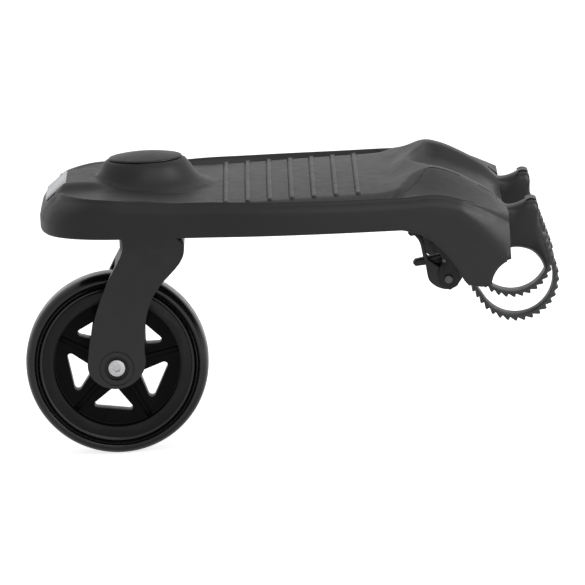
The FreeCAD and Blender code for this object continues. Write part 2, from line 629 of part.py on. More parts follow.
def strap_angles(loop):
    """Directions, from the circles' centres, in which the strap meets the loop and joins the tail."""
    dx, dz = loop[0] - PIVOT[0], loop[1] - PIVOT[1]
    span = math.hypot(dx, dz)
    toward = math.degrees(math.atan2(dz, dx))
    down = toward + 180.0 - math.degrees(math.acos((LOOP_RADIUS + STRAP_THICK / 2) / span))
    back = toward - math.degrees(math.acos((TAIL_RADIUS - LOOP_RADIUS) / span))
    return down % 360.0, back % 360.0


def strap_path(loop):
    """Points along the inner face of the strap with its outward direction, about a millimetre apart."""
    down, back = strap_angles(loop)
    path = []

    def straight(a, b, facing):
        n = max(2, int(math.dist(a, b)))
        for i in range(n):
            t = i / n
            path.append(((a[0] + (b[0] - a[0]) * t, a[1] + (b[1] - a[1]) * t), facing))

    def turn(centre, radius, first, last):
        n = max(2, int(math.radians(abs(last - first)) * radius))
        for i in range(n):
            angle = first + (last - first) * i / n
            path.append((polar(centre, radius, angle), angle))

    straight(polar(PIVOT, -STRAP_THICK / 2, down), polar(loop, LOOP_RADIUS, down), down)
    turn(loop, LOOP_RADIUS, down, back - 360.0)
    straight(polar(loop, LOOP_RADIUS, back), polar(PIVOT, TAIL_RADIUS, back), back)
    turn(PIVOT, TAIL_RADIUS, back, TAIL_END)
    path.append((polar(PIVOT, TAIL_RADIUS, TAIL_END), TAIL_END))
    return path


def strap_inside(loop, start):
    """Inner face of the strap as two straights and two arcs."""
    down, back = strap_angles(loop)
    first = polar(loop, LOOP_RADIUS, down)
    low = polar(loop, LOOP_RADIUS, (down + back - 360.0) / 2)
    last = polar(loop, LOOP_RADIUS, back)
    tail = [polar(PIVOT, TAIL_RADIUS, a) for a in (back, (back + TAIL_END) / 2, TAIL_END)]
    arcs = [Part.Arc(*flat([first, low, last])).toShape(), Part.Arc(*flat(tail)).toShape()]
    return arcs + lines(flat([start, first])) + lines(flat([last, tail[0]]))


def strap(loop):
    path = strap_path(loop)
    length = [0.0]
    for (a, _), (b, _) in zip(path, path[1:]):
        length.append(length[-1] + math.dist(a, b))

    def outer(s, lift):
        k = 0
        while k < len(path) - 2 and length[k + 1] < s:
            k += 1
        t = (s - length[k]) / (length[k + 1] - length[k])
        (ax, az), fa = path[k]
        (bx, bz), fb = path[k + 1]
        swing = (fb - fa + 180.0) % 360.0 - 180.0
        return polar((ax + (bx - ax) * t, az + (bz - az) * t), lift, fa + swing * t)

    crest = STRAP_THICK + TOOTH_HIGH
    teeth = []
    for i in range(int((length[-1] - SMOOTH_RUN - 3.0) / TOOTH_PITCH)):
        s = SMOOTH_RUN + TOOTH_PITCH * i
        teeth += [outer(s, STRAP_THICK), outer(s + 0.6, crest), outer(s + 1.8, crest),
                  outer(s + TOOTH_PITCH - 0.6, STRAP_THICK)]
    start, end = path[0][0], path[-1][0]
    rim = [end, outer(length[-1], STRAP_THICK)] + teeth[::-1] + [outer(0.0, STRAP_THICK), start]
    y0, y1 = -CLAMP_Y - STRAP_WIDE / 2, -CLAMP_Y + STRAP_WIDE / 2
    band = slab(strap_inside(loop, start) + lines(flat(rim)), y0, y1)
    body = band.fuse(rod(PIVOT, EYE_RADIUS, y0, y1))
    return body.cut(rod(PIVOT, PIN_RADIUS + RUN_CLEAR, -FAR, 0)).removeSplitter()


def saddle():
    """Right saddle: block behind the axle and hooked finger in front of it."""
    back = DECK_FRONT - WALL - PART_GAP
    rear = LEVER_PIN[0] - 12.5
    top = DECK_BOTTOM - 1.0
    behind = -AXLE_RADIUS
    low = CLAW_TIP + 0.5
    block = plate([(back, AXLE_RADIUS - 7.5), (back, top - 6.0), (behind - 7.5, top), (rear, top),
                   (rear, FLANGE_LOW), (behind - 17.5, FLANGE_LOW), (behind - 15.5, FLANGE_LOW - 18.0),
                   (behind - 13.5, low + 5.5), (behind - 8.5, low), (behind + 4.5, low)],
                  -SADDLE_OUT, -SADDLE_IN)
    block = block.common(moulding(WALL + PART_GAP, back))
    y0, y1 = -CLAMP_Y - FINGER_WIDE / 2, -CLAMP_Y + FINGER_WIDE / 2
    px, pz = PIVOT
    finger = plate([(back - 6.0, AXLE_RADIUS - 10.5), (back - 6.0, pz - 12.0), (DECK_FRONT - 1.0, pz - 0.5),
                    (DECK_FRONT + 5.0, pz + 2.3), (px - 6.0, pz + 5.0), (px - 3.7, pz + 6.6),
                    (px + 1.5, pz - 7.0), (px + 5.5, pz - 16.0), (AXLE_RADIUS + 0.5, 31.0),
                    (AXLE_RADIUS + 3.5, 21.0), (AXLE_RADIUS + 4.3, 13.0), (AXLE_RADIUS + 2.8, 6.5),
                    (AXLE_RADIUS - 1.0, 3.5), (AXLE_RADIUS - 4.5, 3.5)], y0, y1)
    body = join([block, finger, rod(PIVOT, EYE_RADIUS + 1.0, y0, y1)])
    half = STRAP_WIDE / 2 + 0.4
    cuts = [rod((0.0, 0.0), AXLE_RADIUS, -FAR, FAR), rod(PIVOT, PIN_RADIUS, -FAR, 0),
            rod(PIVOT, EYE_RADIUS + 0.5, -CLAMP_Y - half, -CLAMP_Y + half),
            plate(around(PIVOT, MOUTH), -CLAMP_Y - half, -CLAMP_Y + half)]
    holes = SADDLE_SCREWS + [(RATCHET_SCREW_X, y) for y in RATCHET_SCREW_Y]
    for cut in cuts + screw_holes(holes, FLANGE_LOW - 4.0, DECK_BOTTOM + 9.0):
        body = body.cut(cut)
    return body


def strap_keeper():
    """Cap over the strap hinge."""
    return plate(around(PIVOT, KEEPER), -CLAMP_Y - STRAP_WIDE / 2, -CLAMP_Y + STRAP_WIDE / 2)


def ratchet_frame():
    """Two cheeks, strap floor and top flange."""
    y0, y1 = -CLAMP_Y - FRAME_WIDE / 2, -CLAMP_Y + FRAME_WIDE / 2
    x = LEVER_PIN[0]
    top = FLANGE_LOW - 0.2
    cheek = around(LEVER_PIN, CHEEK_LINE) + [(x + 4.5, top), (x - 14.5, top)]
    reach = TAIL_RADIUS + 23.5
    window = plate([PIVOT, polar(PIVOT, reach, 205.5), polar(PIVOT, reach, 220.5)], y0, y1)
    floor = rod(PIVOT, TAIL_RADIUS - 0.4, y0, y1).cut(rod(PIVOT, TAIL_RADIUS - FLOOR, y0, y1)).common(window)
    body = join([plate(cheek, y0, y0 + CHEEK), plate(cheek, y1 - CHEEK, y1), floor,
                 box(x - 14.5, x + 9.5, y0, y1, top - CHEEK, top),
                 box(x + 4.5, x + 4.5 + CHEEK, y0, y1, LEVER_PIN[1] + 25.0, top)])
    cuts = [rod(LEVER_PIN, PIN_RADIUS, -FAR, 0), rod(PAWL_PIN, PAWL_PIN_RADIUS, -FAR, 0)]
    cuts += screw_holes([(RATCHET_SCREW_X, y) for y in RATCHET_SCREW_Y], top - 10.0, top + 10.0)
    for cut in cuts:
        body = body.cut(cut)
    return body


def offset_points(points, shift):
    moved = []
    for i, (x, z) in enumerate(points):
        a, b = points[max(i - 1, 0)], points[min(i + 1, len(points) - 1)]
        run = math.dist(a, b)
        moved.append((x - (b[1] - a[1]) / run * shift, z + (b[0] - a[0]) / run * shift))
    return moved


def lever():
    """Ratchet handle: curved plate, two ears and a notched cam drum on the pin."""
    y0, y1 = -CLAMP_Y - LEVER_WIDE / 2, -CLAMP_Y + LEVER_WIDE / 2
    outside = around(LEVER_PIN, LEVER_LINE)
    inside = offset_points(outside, LEVER_THICK)
    edges = [spline(flat(outside)), spline(flat(inside))]
    edges += lines(flat([outside[0], inside[0]])) + lines(flat([outside[-1], inside[-1]]))
    ear = around(LEVER_PIN, LEVER_EAR)
    cam = [polar(LEVER_PIN, CAM_RADIUS if i % 2 else CAM_RADIUS - 2.0, 15.0 * i - 100.0) for i in range(9)]
    cam += [polar(LEVER_PIN, CAM_RADIUS - 2.0, 40.0 * i + 40.0) for i in range(5)]
    body = join([slab(edges, y0, y1), plate(cam, y0 + 0.5, y1 - 0.5), plate(ear, y0, y0 + CHEEK),
                 plate(ear, y1 - CHEEK, y1)])
    x, z = LEVER_PIN
    half = PAWL_WIDE / 2 + 2.0
    window = box(x - 32.5, x - 13.0, -CLAMP_Y - half, -CLAMP_Y + half, z + 7.0, z + 36.0)
    return body.cut(window).cut(rod(LEVER_PIN, PIN_RADIUS + RUN_CLEAR, -FAR, 0))


def pawl():
    """Pawl whose nose stands over the strap's teeth and whose tab reaches through the lever."""
    y0, y1 = -CLAMP_Y - PAWL_WIDE / 2, -CLAMP_Y + PAWL_WIDE / 2
    x, z = PAWL_PIN
    tip = polar(PIVOT, TAIL_RADIUS + STRAP_THICK + TOOTH_HIGH + 0.5, 214.4)
    nose = plate([(x - 1.0, z - 3.3), (x + 3.0, z - 5.5), tip, (x + 3.3, z + 0.7)], y0, y1)
    tab = plate(around(PAWL_PIN, PAWL_TAB), y0, y1)
    body = join([rod(PAWL_PIN, PAWL_HUB, y0, y1), nose, tab])
    return body.cut(rod(PAWL_PIN, PAWL_PIN_RADIUS + RUN_CLEAR, -FAR, 0))


def pin(centre, radius, reach):
    """Plain cross pin of a clamp, flush at both ends."""
    return rod(centre, radius, -CLAMP_Y - reach, -CLAMP_Y + reach)


def headed_pin(centre, radius, reach):
    head = rod(centre, radius * 1.35, -CLAMP_Y - reach - 1.5, -CLAMP_Y - reach)
    return join([pin(centre, radius, reach), head])


def pawl_spring():
    radius = PAWL_PIN_RADIUS + 1.0
    wire = Part.Wire(Part.makeHelix(1.05, 3.15, radius).Edges)
    section = Part.Wire(Part.makeCircle(0.45, Vector(radius, 0, 0), Vector(0, 1, 0)))
    coil = wire.makePipeShell([section], True, True)
    coil.rotate(Vector(0, 0, 0), Vector(1, 0, 0), -90)
    coil.translate(Vector(PAWL_PIN[0], -CLAMP_Y + PAWL_WIDE / 2 + 0.75, PAWL_PIN[1]))
    return coil


def deck_parts():
    ratchet_points = both_sides([(RATCHET_SCREW_X, y) for y in RATCHET_SCREW_Y])
    return {
        "deck_shell": deck_shell(deck_body()),
        "deck_base": deck_base(),
        "grip_strips": strips(0.0, 0.0),
        "reflector": reflector_plate(0.0, 0.6),
        "pivot_cap": pivot_cap(),
        "kingpin_bush_upper": kingpin_bush(BOSS_TOP, 1.0),
        "kingpin_bush_lower": kingpin_bush(DECK_BOTTOM, -1.0),
        "base_screws": screws(both_sides(BASE_SCREWS), DECK_BOTTOM + 1.2, DECK_BOTTOM + 13.0),
        "saddle_screws": screws(both_sides(SADDLE_SCREWS), FLANGE_LOW, DECK_BOTTOM + 13.0),
        "ratchet_screws": screws(ratchet_points, FLANGE_LOW - 0.2 - CHEEK, DECK_BOTTOM - 1.5),
    }


def clamp_parts():
    parts = {
        "strap_pins": pair(pin(PIVOT, PIN_RADIUS, FINGER_WIDE / 2)),
        "lever_pins": pair(headed_pin(LEVER_PIN, PIN_RADIUS, FRAME_WIDE / 2)),
        "pawl_pins": pair(pin(PAWL_PIN, PAWL_PIN_RADIUS, FRAME_WIDE / 2)),
        "pawl_springs": pair(pawl_spring()),
    }
    for side, loop in LOOPS.items():
        parts["saddle_" + side] = on_side(saddle(), side)
        parts["strap_keeper_" + side] = on_side(strap_keeper(), side)
        parts["ratchet_frame_" + side] = on_side(ratchet_frame(), side)
        parts["strap_" + side] = on_side(strap(loop), side)
        parts["lever_" + side] = on_side(lever(), side)
        parts["pawl_" + side] = on_side(pawl(), side)
    return parts


def caster_parts():
    axle = (WHEEL_X, WHEEL_Z)
    seat = FORK_OUT - RECESS_DEPTH
    bore = KINGPIN_RADIUS + 0.1
    top = BOSS_TOP + FLANGE
    pin_shape = join([post(KINGPIN_X, 0, KINGPIN_RADIUS, CROWN_LOW - 1.0, top + 12.0),
                      post(KINGPIN_X, 0, BUSH_RADIUS, CROWN_LOW - 2.8, CROWN_LOW)])
    bolt = join([rod(axle, BOLT_RADIUS, -seat - 0.1, seat + 8.0), rod(axle, BOLT_HEAD, -seat - 4.4, -seat)])
    axle_nut = nut(0.0, 2.0 * BOLT_RADIUS + 5.0, 0.0, 6.5, BOLT_RADIUS)
    axle_nut.rotate(Vector(0, 0, 0), Vector(1, 0, 0), -90)
    axle_nut.translate(Vector(WHEEL_X, seat, WHEEL_Z))
    return {
        "fork": fork(),
        "kingpin": pin_shape,
        "thrust_washer": ring(bore, FLANGE_RADIUS, CROWN_TOP, DECK_BOTTOM - FLANGE - 0.15),
        "kingpin_washer": ring(bore, FLANGE_RADIUS - 1.0, top + 0.15, top + 2.0),
        "kingpin_nut": nut(KINGPIN_X, 2.0 * KINGPIN_RADIUS + 7.0, top + 2.0, top + 9.0, KINGPIN_RADIUS),
        "axle_bolt": bolt,
        "axle_nut": axle_nut,
        "axle_sleeve": tube(BOLT_RADIUS + FIT_CLEAR, SLEEVE_RADIUS, -FORK_IN, FORK_IN),
        "wheel_bushes": pair(tube(SLEEVE_RADIUS + RUN_CLEAR, BUSH_OUT, -HUB_HALF, -HUB_HALF + BUSH_LONG)),
        "wheel_rim": wheel_rim(),
        "tyre": tyre(),
    }


os.makedirs("parts", exist_ok=True)
for made in (deck_parts(), clamp_parts(), caster_parts()):
    for name, shape in made.items():
        shape.exportStep("parts/" + name + ".step")
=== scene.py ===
import json
import math

import bmesh
import bpy
from mathutils import Matrix, Vector


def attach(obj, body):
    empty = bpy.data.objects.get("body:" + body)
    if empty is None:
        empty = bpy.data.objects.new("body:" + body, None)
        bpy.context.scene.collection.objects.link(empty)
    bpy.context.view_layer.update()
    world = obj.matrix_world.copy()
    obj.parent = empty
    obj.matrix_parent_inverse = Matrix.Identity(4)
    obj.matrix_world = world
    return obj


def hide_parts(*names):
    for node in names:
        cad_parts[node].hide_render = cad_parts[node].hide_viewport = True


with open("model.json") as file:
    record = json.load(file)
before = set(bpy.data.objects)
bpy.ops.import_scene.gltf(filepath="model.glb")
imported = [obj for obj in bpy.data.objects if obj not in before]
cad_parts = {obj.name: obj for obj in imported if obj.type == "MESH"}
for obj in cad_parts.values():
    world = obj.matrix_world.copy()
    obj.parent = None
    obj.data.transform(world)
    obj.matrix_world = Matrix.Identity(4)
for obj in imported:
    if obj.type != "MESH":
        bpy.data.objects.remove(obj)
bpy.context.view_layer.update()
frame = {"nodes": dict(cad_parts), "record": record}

# Lengths below are millimetres in the frame of the solids: X forward, Z up, the pushchair axle
# through the origin along Y. They are turned to metres when a mesh is made.
MM = 0.001
scene = bpy.context.scene

# Values shared with the solids
SIDES = {"right": -1, "left": 1}
AXLE_RADIUS = 22.5
GROUND = -143.0
KINGPIN_X = -296.0
WHEEL_X, WHEEL_Z = -328.0, -68.0
DECK_REAR, DECK_FRONT = -383.0, -6.0
DECK_BOTTOM, FOOT = 51.0, 79.3
DECK_HALF = 140.0
WALL = 3.0
RIDGE_Y = CLAMP_Y = 74.0
TOE_FROM = -104.0
CAP_SEAT, CAP_RADIUS = 99.0, 30.0
SLANT_TOP, SLANT_LOW = (-360.5, 88.0), (-379.0, 73.0)
STRIP_FIRST, STRIP_PITCH, STRIP_COUNT = -231.0, 17.7, 7
STRIP_HALF, STRIP_WIDTH, STRIP_PROUD = 104.0, 3.2, 1.3
NOTCH_RADIUS, NOTCH_TIP = 24.0, -23.917    # notch of the side walls round the axle, and its rear end
PIVOT = (14.0, 56.0)                       # pin of each strap
FINGER_HALF = 14.0
SLOT_HALF = FINGER_HALF + 0.3              # slots of the deck for the saddles' fingers
SLOT_IN, SLOT_OUT, SLOT_BACK = CLAMP_Y - SLOT_HALF, CLAMP_Y + SLOT_HALF, -14.0

# Lines of the deck. OUTLINE has distances ahead of the rear end and the narrowing of each side. CLAW has
# heights in the frame, and SIDE, RIDGE and EDGE have heights over the foot surface, all by x.
OUTLINE = [(0, 100), (7, 67), (22, 46), (45, 32), (87, 23), (131, 15.5), (172, 7.5), (203, 3.5),
           (243, .8), (291, 0), (330, .3), (391, 3)]
SIDE = [(-390, 1), (-356, 1), (-330, .6), (-306, .6), (-280, 1.4), (-252, 2.1), (-211, .3), (-180, -.8),
        (-140, -2.1), (-104, -2.8), (-92, -2.9)]
RIDGE = [(-116, -.2), (-104, 0), (-92, 2.7), (-78, 8.7), (-66, 11.7), (-55, 9.4), (-44, 4.7), (-29, -3.8),
         (-17, -11.8), (-6, -22.8), (10, -36.3), (20, -41.3)]
EDGE = [(-116, -2.7), (-104, -2.8), (-92, -2.9), (-78, -2.4), (-67, -2), (-57, -3.1), (-47, -5.7),
        (-37, -8.9), (-27, -12), (-17, -16), (-7, -20.4), (10, -28), (20, -32)]
CLAW = [(-92, 51), (-82, 48.5), (-71, 43), (-61, 34), (-50, 19), (-42.5, 5.5), (-31, 2)]
# Dome round the kingpin: radius, share of its height
DOME = [(31.5, 1.0), (34.0, .90), (37.0, .68), (41, .38), (46, .13), (53, 0)]
# Section of the deck's side below its edge: share of the way out, share of the way down
LEDGE = [(0, 0), (.09, .04), (.15, .14), (.21, .21), (.34, .28), (.55, .42), (.76, .6), (.92, .8), (1, 1)]

# Sizes of the deck's surface
DECK_RISE = 0.018           # rise of the foot surface per millimetre forward
CROWN = 2.2                 # fall of the foot surface towards the ends of the grip strips
SIDE_RUN = 7.0              # width of the slope from the channel up to the deck's edge
GUTTER = 4.6                # depth of the channel beside the foot surface
GUTTER_RUN = 8.0            # least width of the channel's inner slope
STRIP_MARGIN = 1.0          # the slope starts this far inside the ends of the grip strips
TAIL_SWEEP = 7.0            # rise of the tail behind the caster
HUMP_RISE = 5.5             # further rise in the middle of the tail
FLARE_FROM = -44.0          # where the side flare starts to grow towards the front edge
FLARE_POWER = 1.3
FLARE_ACROSS = (7.0, 9.0, 10.0)    # width of the flare: along the side, added in front, added at the tail
FLARE_DOWN = (11.0, 35.0, 9.0)     # depth of the flare, in the same way
TOE_BOW = 16.0              # the crest between the ridges bows back this far
TOE_STEEP = 0.9             # steeper rear face between the ridges
TOE_SAG = 3.0               # the crest is lower in the middle
CREST_X = -66.0
HOLLOW_DEEP = 9.0           # step down from the crest into the hollow
HOLLOW_RISE = 3.0           # the hollow is this much shallower at the front
RIDGE_FLAT = 2.0            # the ridges stay level this far outward
FLANK_STRAIGHT = 0.7        # how straight the flanks outside the ridges are
DOME_SINK = 0.4
DOME_BLEND, SLANT_BLEND = 2.0, 1.2

# Stretches over which one form passes into the next: start and length, along x or across y
TAIL = (-345.0, 90.0)
HUMP, HUMP_ACROSS = (-350.0, 50.0), (36.0, 15.0)
TAIL_END, TAIL_ACROSS = (-350.0, 20.0), (40.0, 25.0)
REAR_FLARE = (-375.0, 40.0)
GUTTER_START, GUTTER_STOP = (KINGPIN_X - 30.0, 40.0), (TOE_FROM, 20.0)
CROWN_START, CROWN_STOP = (KINGPIN_X, 60.0), (TOE_FROM - 10.0, 45.0)
FLANK_TURN = (TOE_FROM, 26.0)
BOW_STOP = (-75.0, 45.0)
SAG_START = (TOE_FROM, 30.0)
HOLLOW_START, HOLLOW_ACROSS, HOLLOW_FRONT = (CREST_X, 8.0), (47.0, 17.0), (-45.0, 40.0)


# Curves
def ramp(t):
    """Smooth step from 0 to 1."""
    t = max(0.0, min(1.0, t))
    return t * t * (3.0 - 2.0 * t)


def rise(value, start, length):
    """Smooth step from 0 at start to 1 at start + length."""
    return ramp((value - start) / length)


def within(value, first, last):
    """Smooth step up over the first stretch and down over the last."""
    return rise(value, *first) * (1.0 - rise(value, *last))


def along(points, x):
    """Height at x of the smooth curve through a list of (x, z) points."""
    last = len(points) - 2
    i = 0
    while i < last and x > points[i + 1][0]:
        i += 1

    def slope(k):
        a, b = points[max(k - 1, 0)], points[min(k + 1, last + 1)]
        return (b[1] - a[1]) / (b[0] - a[0])

    (x0, z0), (x1, z1) = points[i], points[i + 1]
    h = x1 - x0
    t = (x - x0) / h
    height = z0 * (1 + 2 * t) * (1 - t) ** 2 + z1 * t * t * (3 - 2 * t)
    return height + h * (slope(i) * t * (1 - t) ** 2 - slope(i + 1) * t * t * (1 - t))


def soft_max(a, b, k):
    """Larger of two heights, with the crossing rounded over k."""
    h = max(k - abs(a - b), 0.0) / k
    return max(a, b) + h * h * k / 4


def soft_min(a, b, k):
    return -soft_max(-a, -b, k)


def spread(a, b, n):
    """n values from a to b, both ends among them."""
    return [a + (b - a) * i / (n - 1) for i in range(n)]


def polar(centre, radius, degrees):
    a = math.radians(degrees)
    return centre[0] + radius * math.cos(a), centre[1] + radius * math.sin(a)


def flow(points, steps=6):
    """Smooth open curve through the points."""

    def blend(a, b, c, d, t):
        bend = (2 * a - 5 * b + 4 * c - d) * t * t
        return 0.5 * (2 * b + (c - a) * t + bend + (3 * b - a - 3 * c + d) * t ** 3)

    ends = [points[0]] + list(points) + [points[-1]]
    out = []
    for i in range(1, len(ends) - 2):
        for k in range(steps):
            out.append(tuple(blend(*column, k / steps) for column in zip(*ends[i - 1:i + 3])))
    return out + [tuple(points[-1])]


# Meshes
SHARP = 35.0                # edges sharper than this are shaded as edges, in degrees
WELD = 0.004                # vertices closer than this are joined
FLAT_ANGLE = 0.8            # faces closer in direction than this are joined before edges are rounded
EDGE_ANGLE = 30.0           # edges sharper than this are rounded


def make(name, verts, faces, material, sharp=SHARP):
    """Object of vertices in millimetres and faces."""
    mesh = bpy.data.meshes.new(name)
    mesh.from_pydata([(x * MM, y * MM, z * MM) for x, y, z in verts], [], faces)
    return settle(name, mesh, material, sharp)


def shade(mesh, sharp):
    """Smooth shading up to an edge angle in degrees."""
    mesh.polygons.foreach_set("use_smooth", [True] * len(mesh.polygons))
    mesh.set_sharp_from_angle(angle=math.radians(sharp))


def settle(name, mesh, material, sharp=SHARP, bevel=0.0):
    """Object of a cleaned mesh, with its edges rounded by bevel millimetres."""
    bm = bmesh.new()
    bm.from_mesh(mesh)
    bmesh.ops.remove_doubles(bm, verts=bm.verts, dist=WELD * MM)
    bmesh.ops.dissolve_degenerate(bm, dist=WELD * MM, edges=bm.edges)
    bmesh.ops.recalc_face_normals(bm, faces=bm.faces)
    if bevel:
        bmesh.ops.dissolve_limit(bm, angle_limit=math.radians(FLAT_ANGLE), verts=bm.verts, edges=bm.edges)
        limit = math.radians(EDGE_ANGLE)
        edges = [e for e in bm.edges if e.is_manifold and e.calc_face_angle() > limit]
        bmesh.ops.bevel(bm, geom=edges, offset=bevel * MM, offset_type="OFFSET", segments=2, profile=0.5,
                        affect="EDGES", clamp_overlap=True)
        bmesh.ops.remove_doubles(bm, verts=bm.verts, dist=WELD * MM)
    bm.to_mesh(mesh)
    bm.free()
    mesh.materials.clear()
    mesh.materials.append(material)
    shade(mesh, sharp)
    obj = bpy.data.objects.new(name, mesh)
    scene.collection.objects.link(obj)
    return obj


def lathe(rows, place, count=96):
    """Vertices and faces of a closed profile (radius, height) turned about an axis; place maps
    (across, up, height) to the frame."""
    verts, faces = [], []
    n = len(rows)
    for i in range(count):
        a = 2 * math.pi * i / count
        verts += [place(r * math.cos(a), r * math.sin(a), h) for r, h in rows]
    for i in range(count):
        j = (i + 1) % count
        for k in range(n):
            m = (k + 1) % n
            on_axis = rows[k][0] == 0.0 and rows[m][0] == 0.0
            if not on_axis:
                faces.append((i * n + k, j * n + k, j * n + m, i * n + m))
    return verts, faces


def on_kingpin(u, v, h):
    return KINGPIN_X + u, v, h


def on_axle(u, v, h):
    return WHEEL_X + u, h, WHEEL_Z + v


def merge(parts):
    """One vertex and face list out of several."""
    verts, faces = [], []
    for v, f in parts:
        n = len(verts)
        verts += v
        faces += [tuple(n + k for k in face) for face in f]
    return verts, faces


def prism(points, y0, y1):
    """XZ outline made thick from y0 to y1."""
    n = len(points)
    verts = [(x, y0, z) for x, z in points] + [(x, y1, z) for x, z in points]
    faces = [tuple(range(n)), tuple(range(2 * n - 1, n - 1, -1))]
    faces += [(i, i + n, (i + 1) % n + n, (i + 1) % n) for i in range(n)]
    return verts, faces


def upright(points, x0, x1):
    """YZ outline made thick from x0 to x1."""
    verts, faces = prism(points, x0, x1)
    return [(y, x, z) for x, y, z in verts], faces


def loft(rows, ring):
    """Faces of a closed bar through rows of ring points each."""
    faces = []
    for i in range(rows - 1):
        for k in range(ring):
            m = (k + 1) % ring
            faces.append((i * ring + k, i * ring + m, (i + 1) * ring + m, (i + 1) * ring + k))
    last = rows * ring - 1
    return faces + [tuple(range(ring)), tuple(range(last, last - ring, -1))]


def tube(path, radius, count=8):
    """Closed round bar along a path of 3-D points."""
    pts = [Vector(p) for p in path]
    aside = Vector((0.13, 0.21, 0.97))
    verts = []
    for i, p in enumerate(pts):
        d = (pts[min(i + 1, len(pts) - 1)] - pts[max(i - 1, 0)]).normalized()
        side = d.cross(aside).normalized()
        up = side.cross(d)
        for k in range(count):
            a = 2 * math.pi * k / count
            verts.append(tuple(p + side * (radius * math.cos(a)) + up * (radius * math.sin(a))))
    return verts, loft(len(pts), count)


def cut(obj, cutter, sharp=SHARP):
    """Takes the cutter out of a piece and removes the cutter."""
    mod = obj.modifiers.new("cut", "BOOLEAN")
    mod.operation = "DIFFERENCE"
    mod.solver = "EXACT"
    mod.object = cutter
    graph = bpy.context.evaluated_depsgraph_get()
    mesh = bpy.data.meshes.new_from_object(obj.evaluated_get(graph))
    obj.modifiers.clear()
    obj.data = mesh
    shade(mesh, sharp)
    bpy.data.objects.remove(cutter)


# Materials
MOTTLE_SIZE, GLOSS_SIZE = 24.0, 9.0    # size of the patches of colour and of gloss
CELL_SIZE = 2.4                        # cells of the reflector
DISC_EDGE = (50.5, 53.5)               # radii between which the wheel's disc passes into its rim
DISC_SHINE = (0.05, 0.22)              # shine of the disc, lowered as painted shade for its recess, and of the rim


def set_inputs(node, values):
    for socket, value in values.items():
        node.inputs[socket].default_value = value


def shades_of(nodes, stops):
    """Colour ramp between two (position, colour) stops."""
    node = nodes.new("ShaderNodeValToRGB")
    for element, (position, colour) in zip(node.color_ramp.elements, stops):
        element.position = position
        element.color = [*colour, 1]
    return node


def surface(name, base, rough, grain=0.9, grain_depth=0.10, mottle=0.14, rough_spread=0.08, metallic=0.0,
            specular=0.5, coat=0.0, streak=(1.0, 1.0, 1.0)):
    """Moulded or plated surface: colour mottling, uneven gloss and fine grain."""
    mat = bpy.data.materials.new(name)
    mat.use_nodes = True
    nodes, links = mat.node_tree.nodes, mat.node_tree.links
    shader = nodes["Principled BSDF"]
    set_inputs(shader, {"Metallic": metallic, "Specular IOR Level": specular, "Coat Weight": coat,
                        "Coat Roughness": 0.3})
    coords = nodes.new("ShaderNodeTexCoord")
    place = nodes.new("ShaderNodeMapping")
    place.inputs["Scale"].default_value = streak
    links.new(coords.outputs["Object"], place.inputs["Vector"])

    def noise(size, detail, roughness):
        node = nodes.new("ShaderNodeTexNoise")
        set_inputs(node, {"Scale": 1.0 / (size * MM), "Detail": detail, "Roughness": roughness})
        links.new(place.outputs["Vector"], node.inputs["Vector"])
        return node.outputs["Fac"]

    dark, light = ([c * share for c in base] for share in (1 - mottle, 1 + mottle))
    shades = shades_of(nodes, [(0.28, dark), (0.72, light)])
    links.new(noise(MOTTLE_SIZE, 4.0, 0.6), shades.inputs["Fac"])
    links.new(shades.outputs["Color"], shader.inputs["Base Color"])
    gloss = nodes.new("ShaderNodeMapRange")
    set_inputs(gloss, {"From Min": 0.3, "From Max": 0.7,
                       "To Min": rough - rough_spread, "To Max": rough + rough_spread})
    links.new(noise(GLOSS_SIZE, 5.0, 0.65), gloss.inputs["Value"])
    links.new(gloss.outputs["Result"], shader.inputs["Roughness"])
    bump = nodes.new("ShaderNodeBump")
    set_inputs(bump, {"Strength": 0.6, "Distance": grain_depth * MM})
    links.new(noise(grain, 3.0, 0.6), bump.inputs["Height"])
    links.new(bump.outputs["Normal"], shader.inputs["Normal"])
    return mat


def prismatic(mat):
    """Gives a silver sheet the small cells of a reflector."""
    nodes, links = mat.node_tree.nodes, mat.node_tree.links
    coords = nodes.new("ShaderNodeTexCoord")
    cells = nodes.new("ShaderNodeTexVoronoi")
    cells.feature = "DISTANCE_TO_EDGE"
    set_inputs(cells, {"Scale": 1.0 / (CELL_SIZE * MM), "Randomness": 0.0})
    links.new(coords.outputs["Object"], cells.inputs["Vector"])
    lines = shades_of(nodes, [(0.02, (0.38, 0.39, 0.41)), (0.10, (0.54, 0.55, 0.57))])
    links.new(cells.outputs["Distance"], lines.inputs["Fac"])
    links.new(lines.outputs["Color"], nodes["Principled BSDF"].inputs["Base Color"])
    return mat


def shade_disc_centre(mat):
    """Painted shade: lowers the shine of the wheel's disc inside the rim, measured from the wheel's axis, so
    the disc reads darker as if shaded in the rim's recess.
    """
    nodes, links = mat.node_tree.nodes, mat.node_tree.links
    coords = nodes.new("ShaderNodeTexCoord")
    offset = nodes.new("ShaderNodeVectorMath")
    offset.operation = "SUBTRACT"
    offset.inputs[1].default_value = (WHEEL_X * MM, 0.0, WHEEL_Z * MM)
    links.new(coords.outputs["Object"], offset.inputs[0])
    flat = nodes.new("ShaderNodeVectorMath")
    flat.operation = "MULTIPLY"
    flat.inputs[1].default_value = (1.0, 0.0, 1.0)
    links.new(offset.outputs["Vector"], flat.inputs[0])
    length = nodes.new("ShaderNodeVectorMath")
    length.operation = "LENGTH"
    links.new(flat.outputs["Vector"], length.inputs[0])
    shine = nodes.new("ShaderNodeMapRange")
    set_inputs(shine, {"From Min": DISC_EDGE[0] * MM, "From Max": DISC_EDGE[1] * MM,
                       "To Min": DISC_SHINE[0], "To Max": DISC_SHINE[1]})
    links.new(length.outputs["Value"], shine.inputs["Value"])
    links.new(shine.outputs["Result"], nodes["Principled BSDF"].inputs["Specular IOR Level"])
    return mat


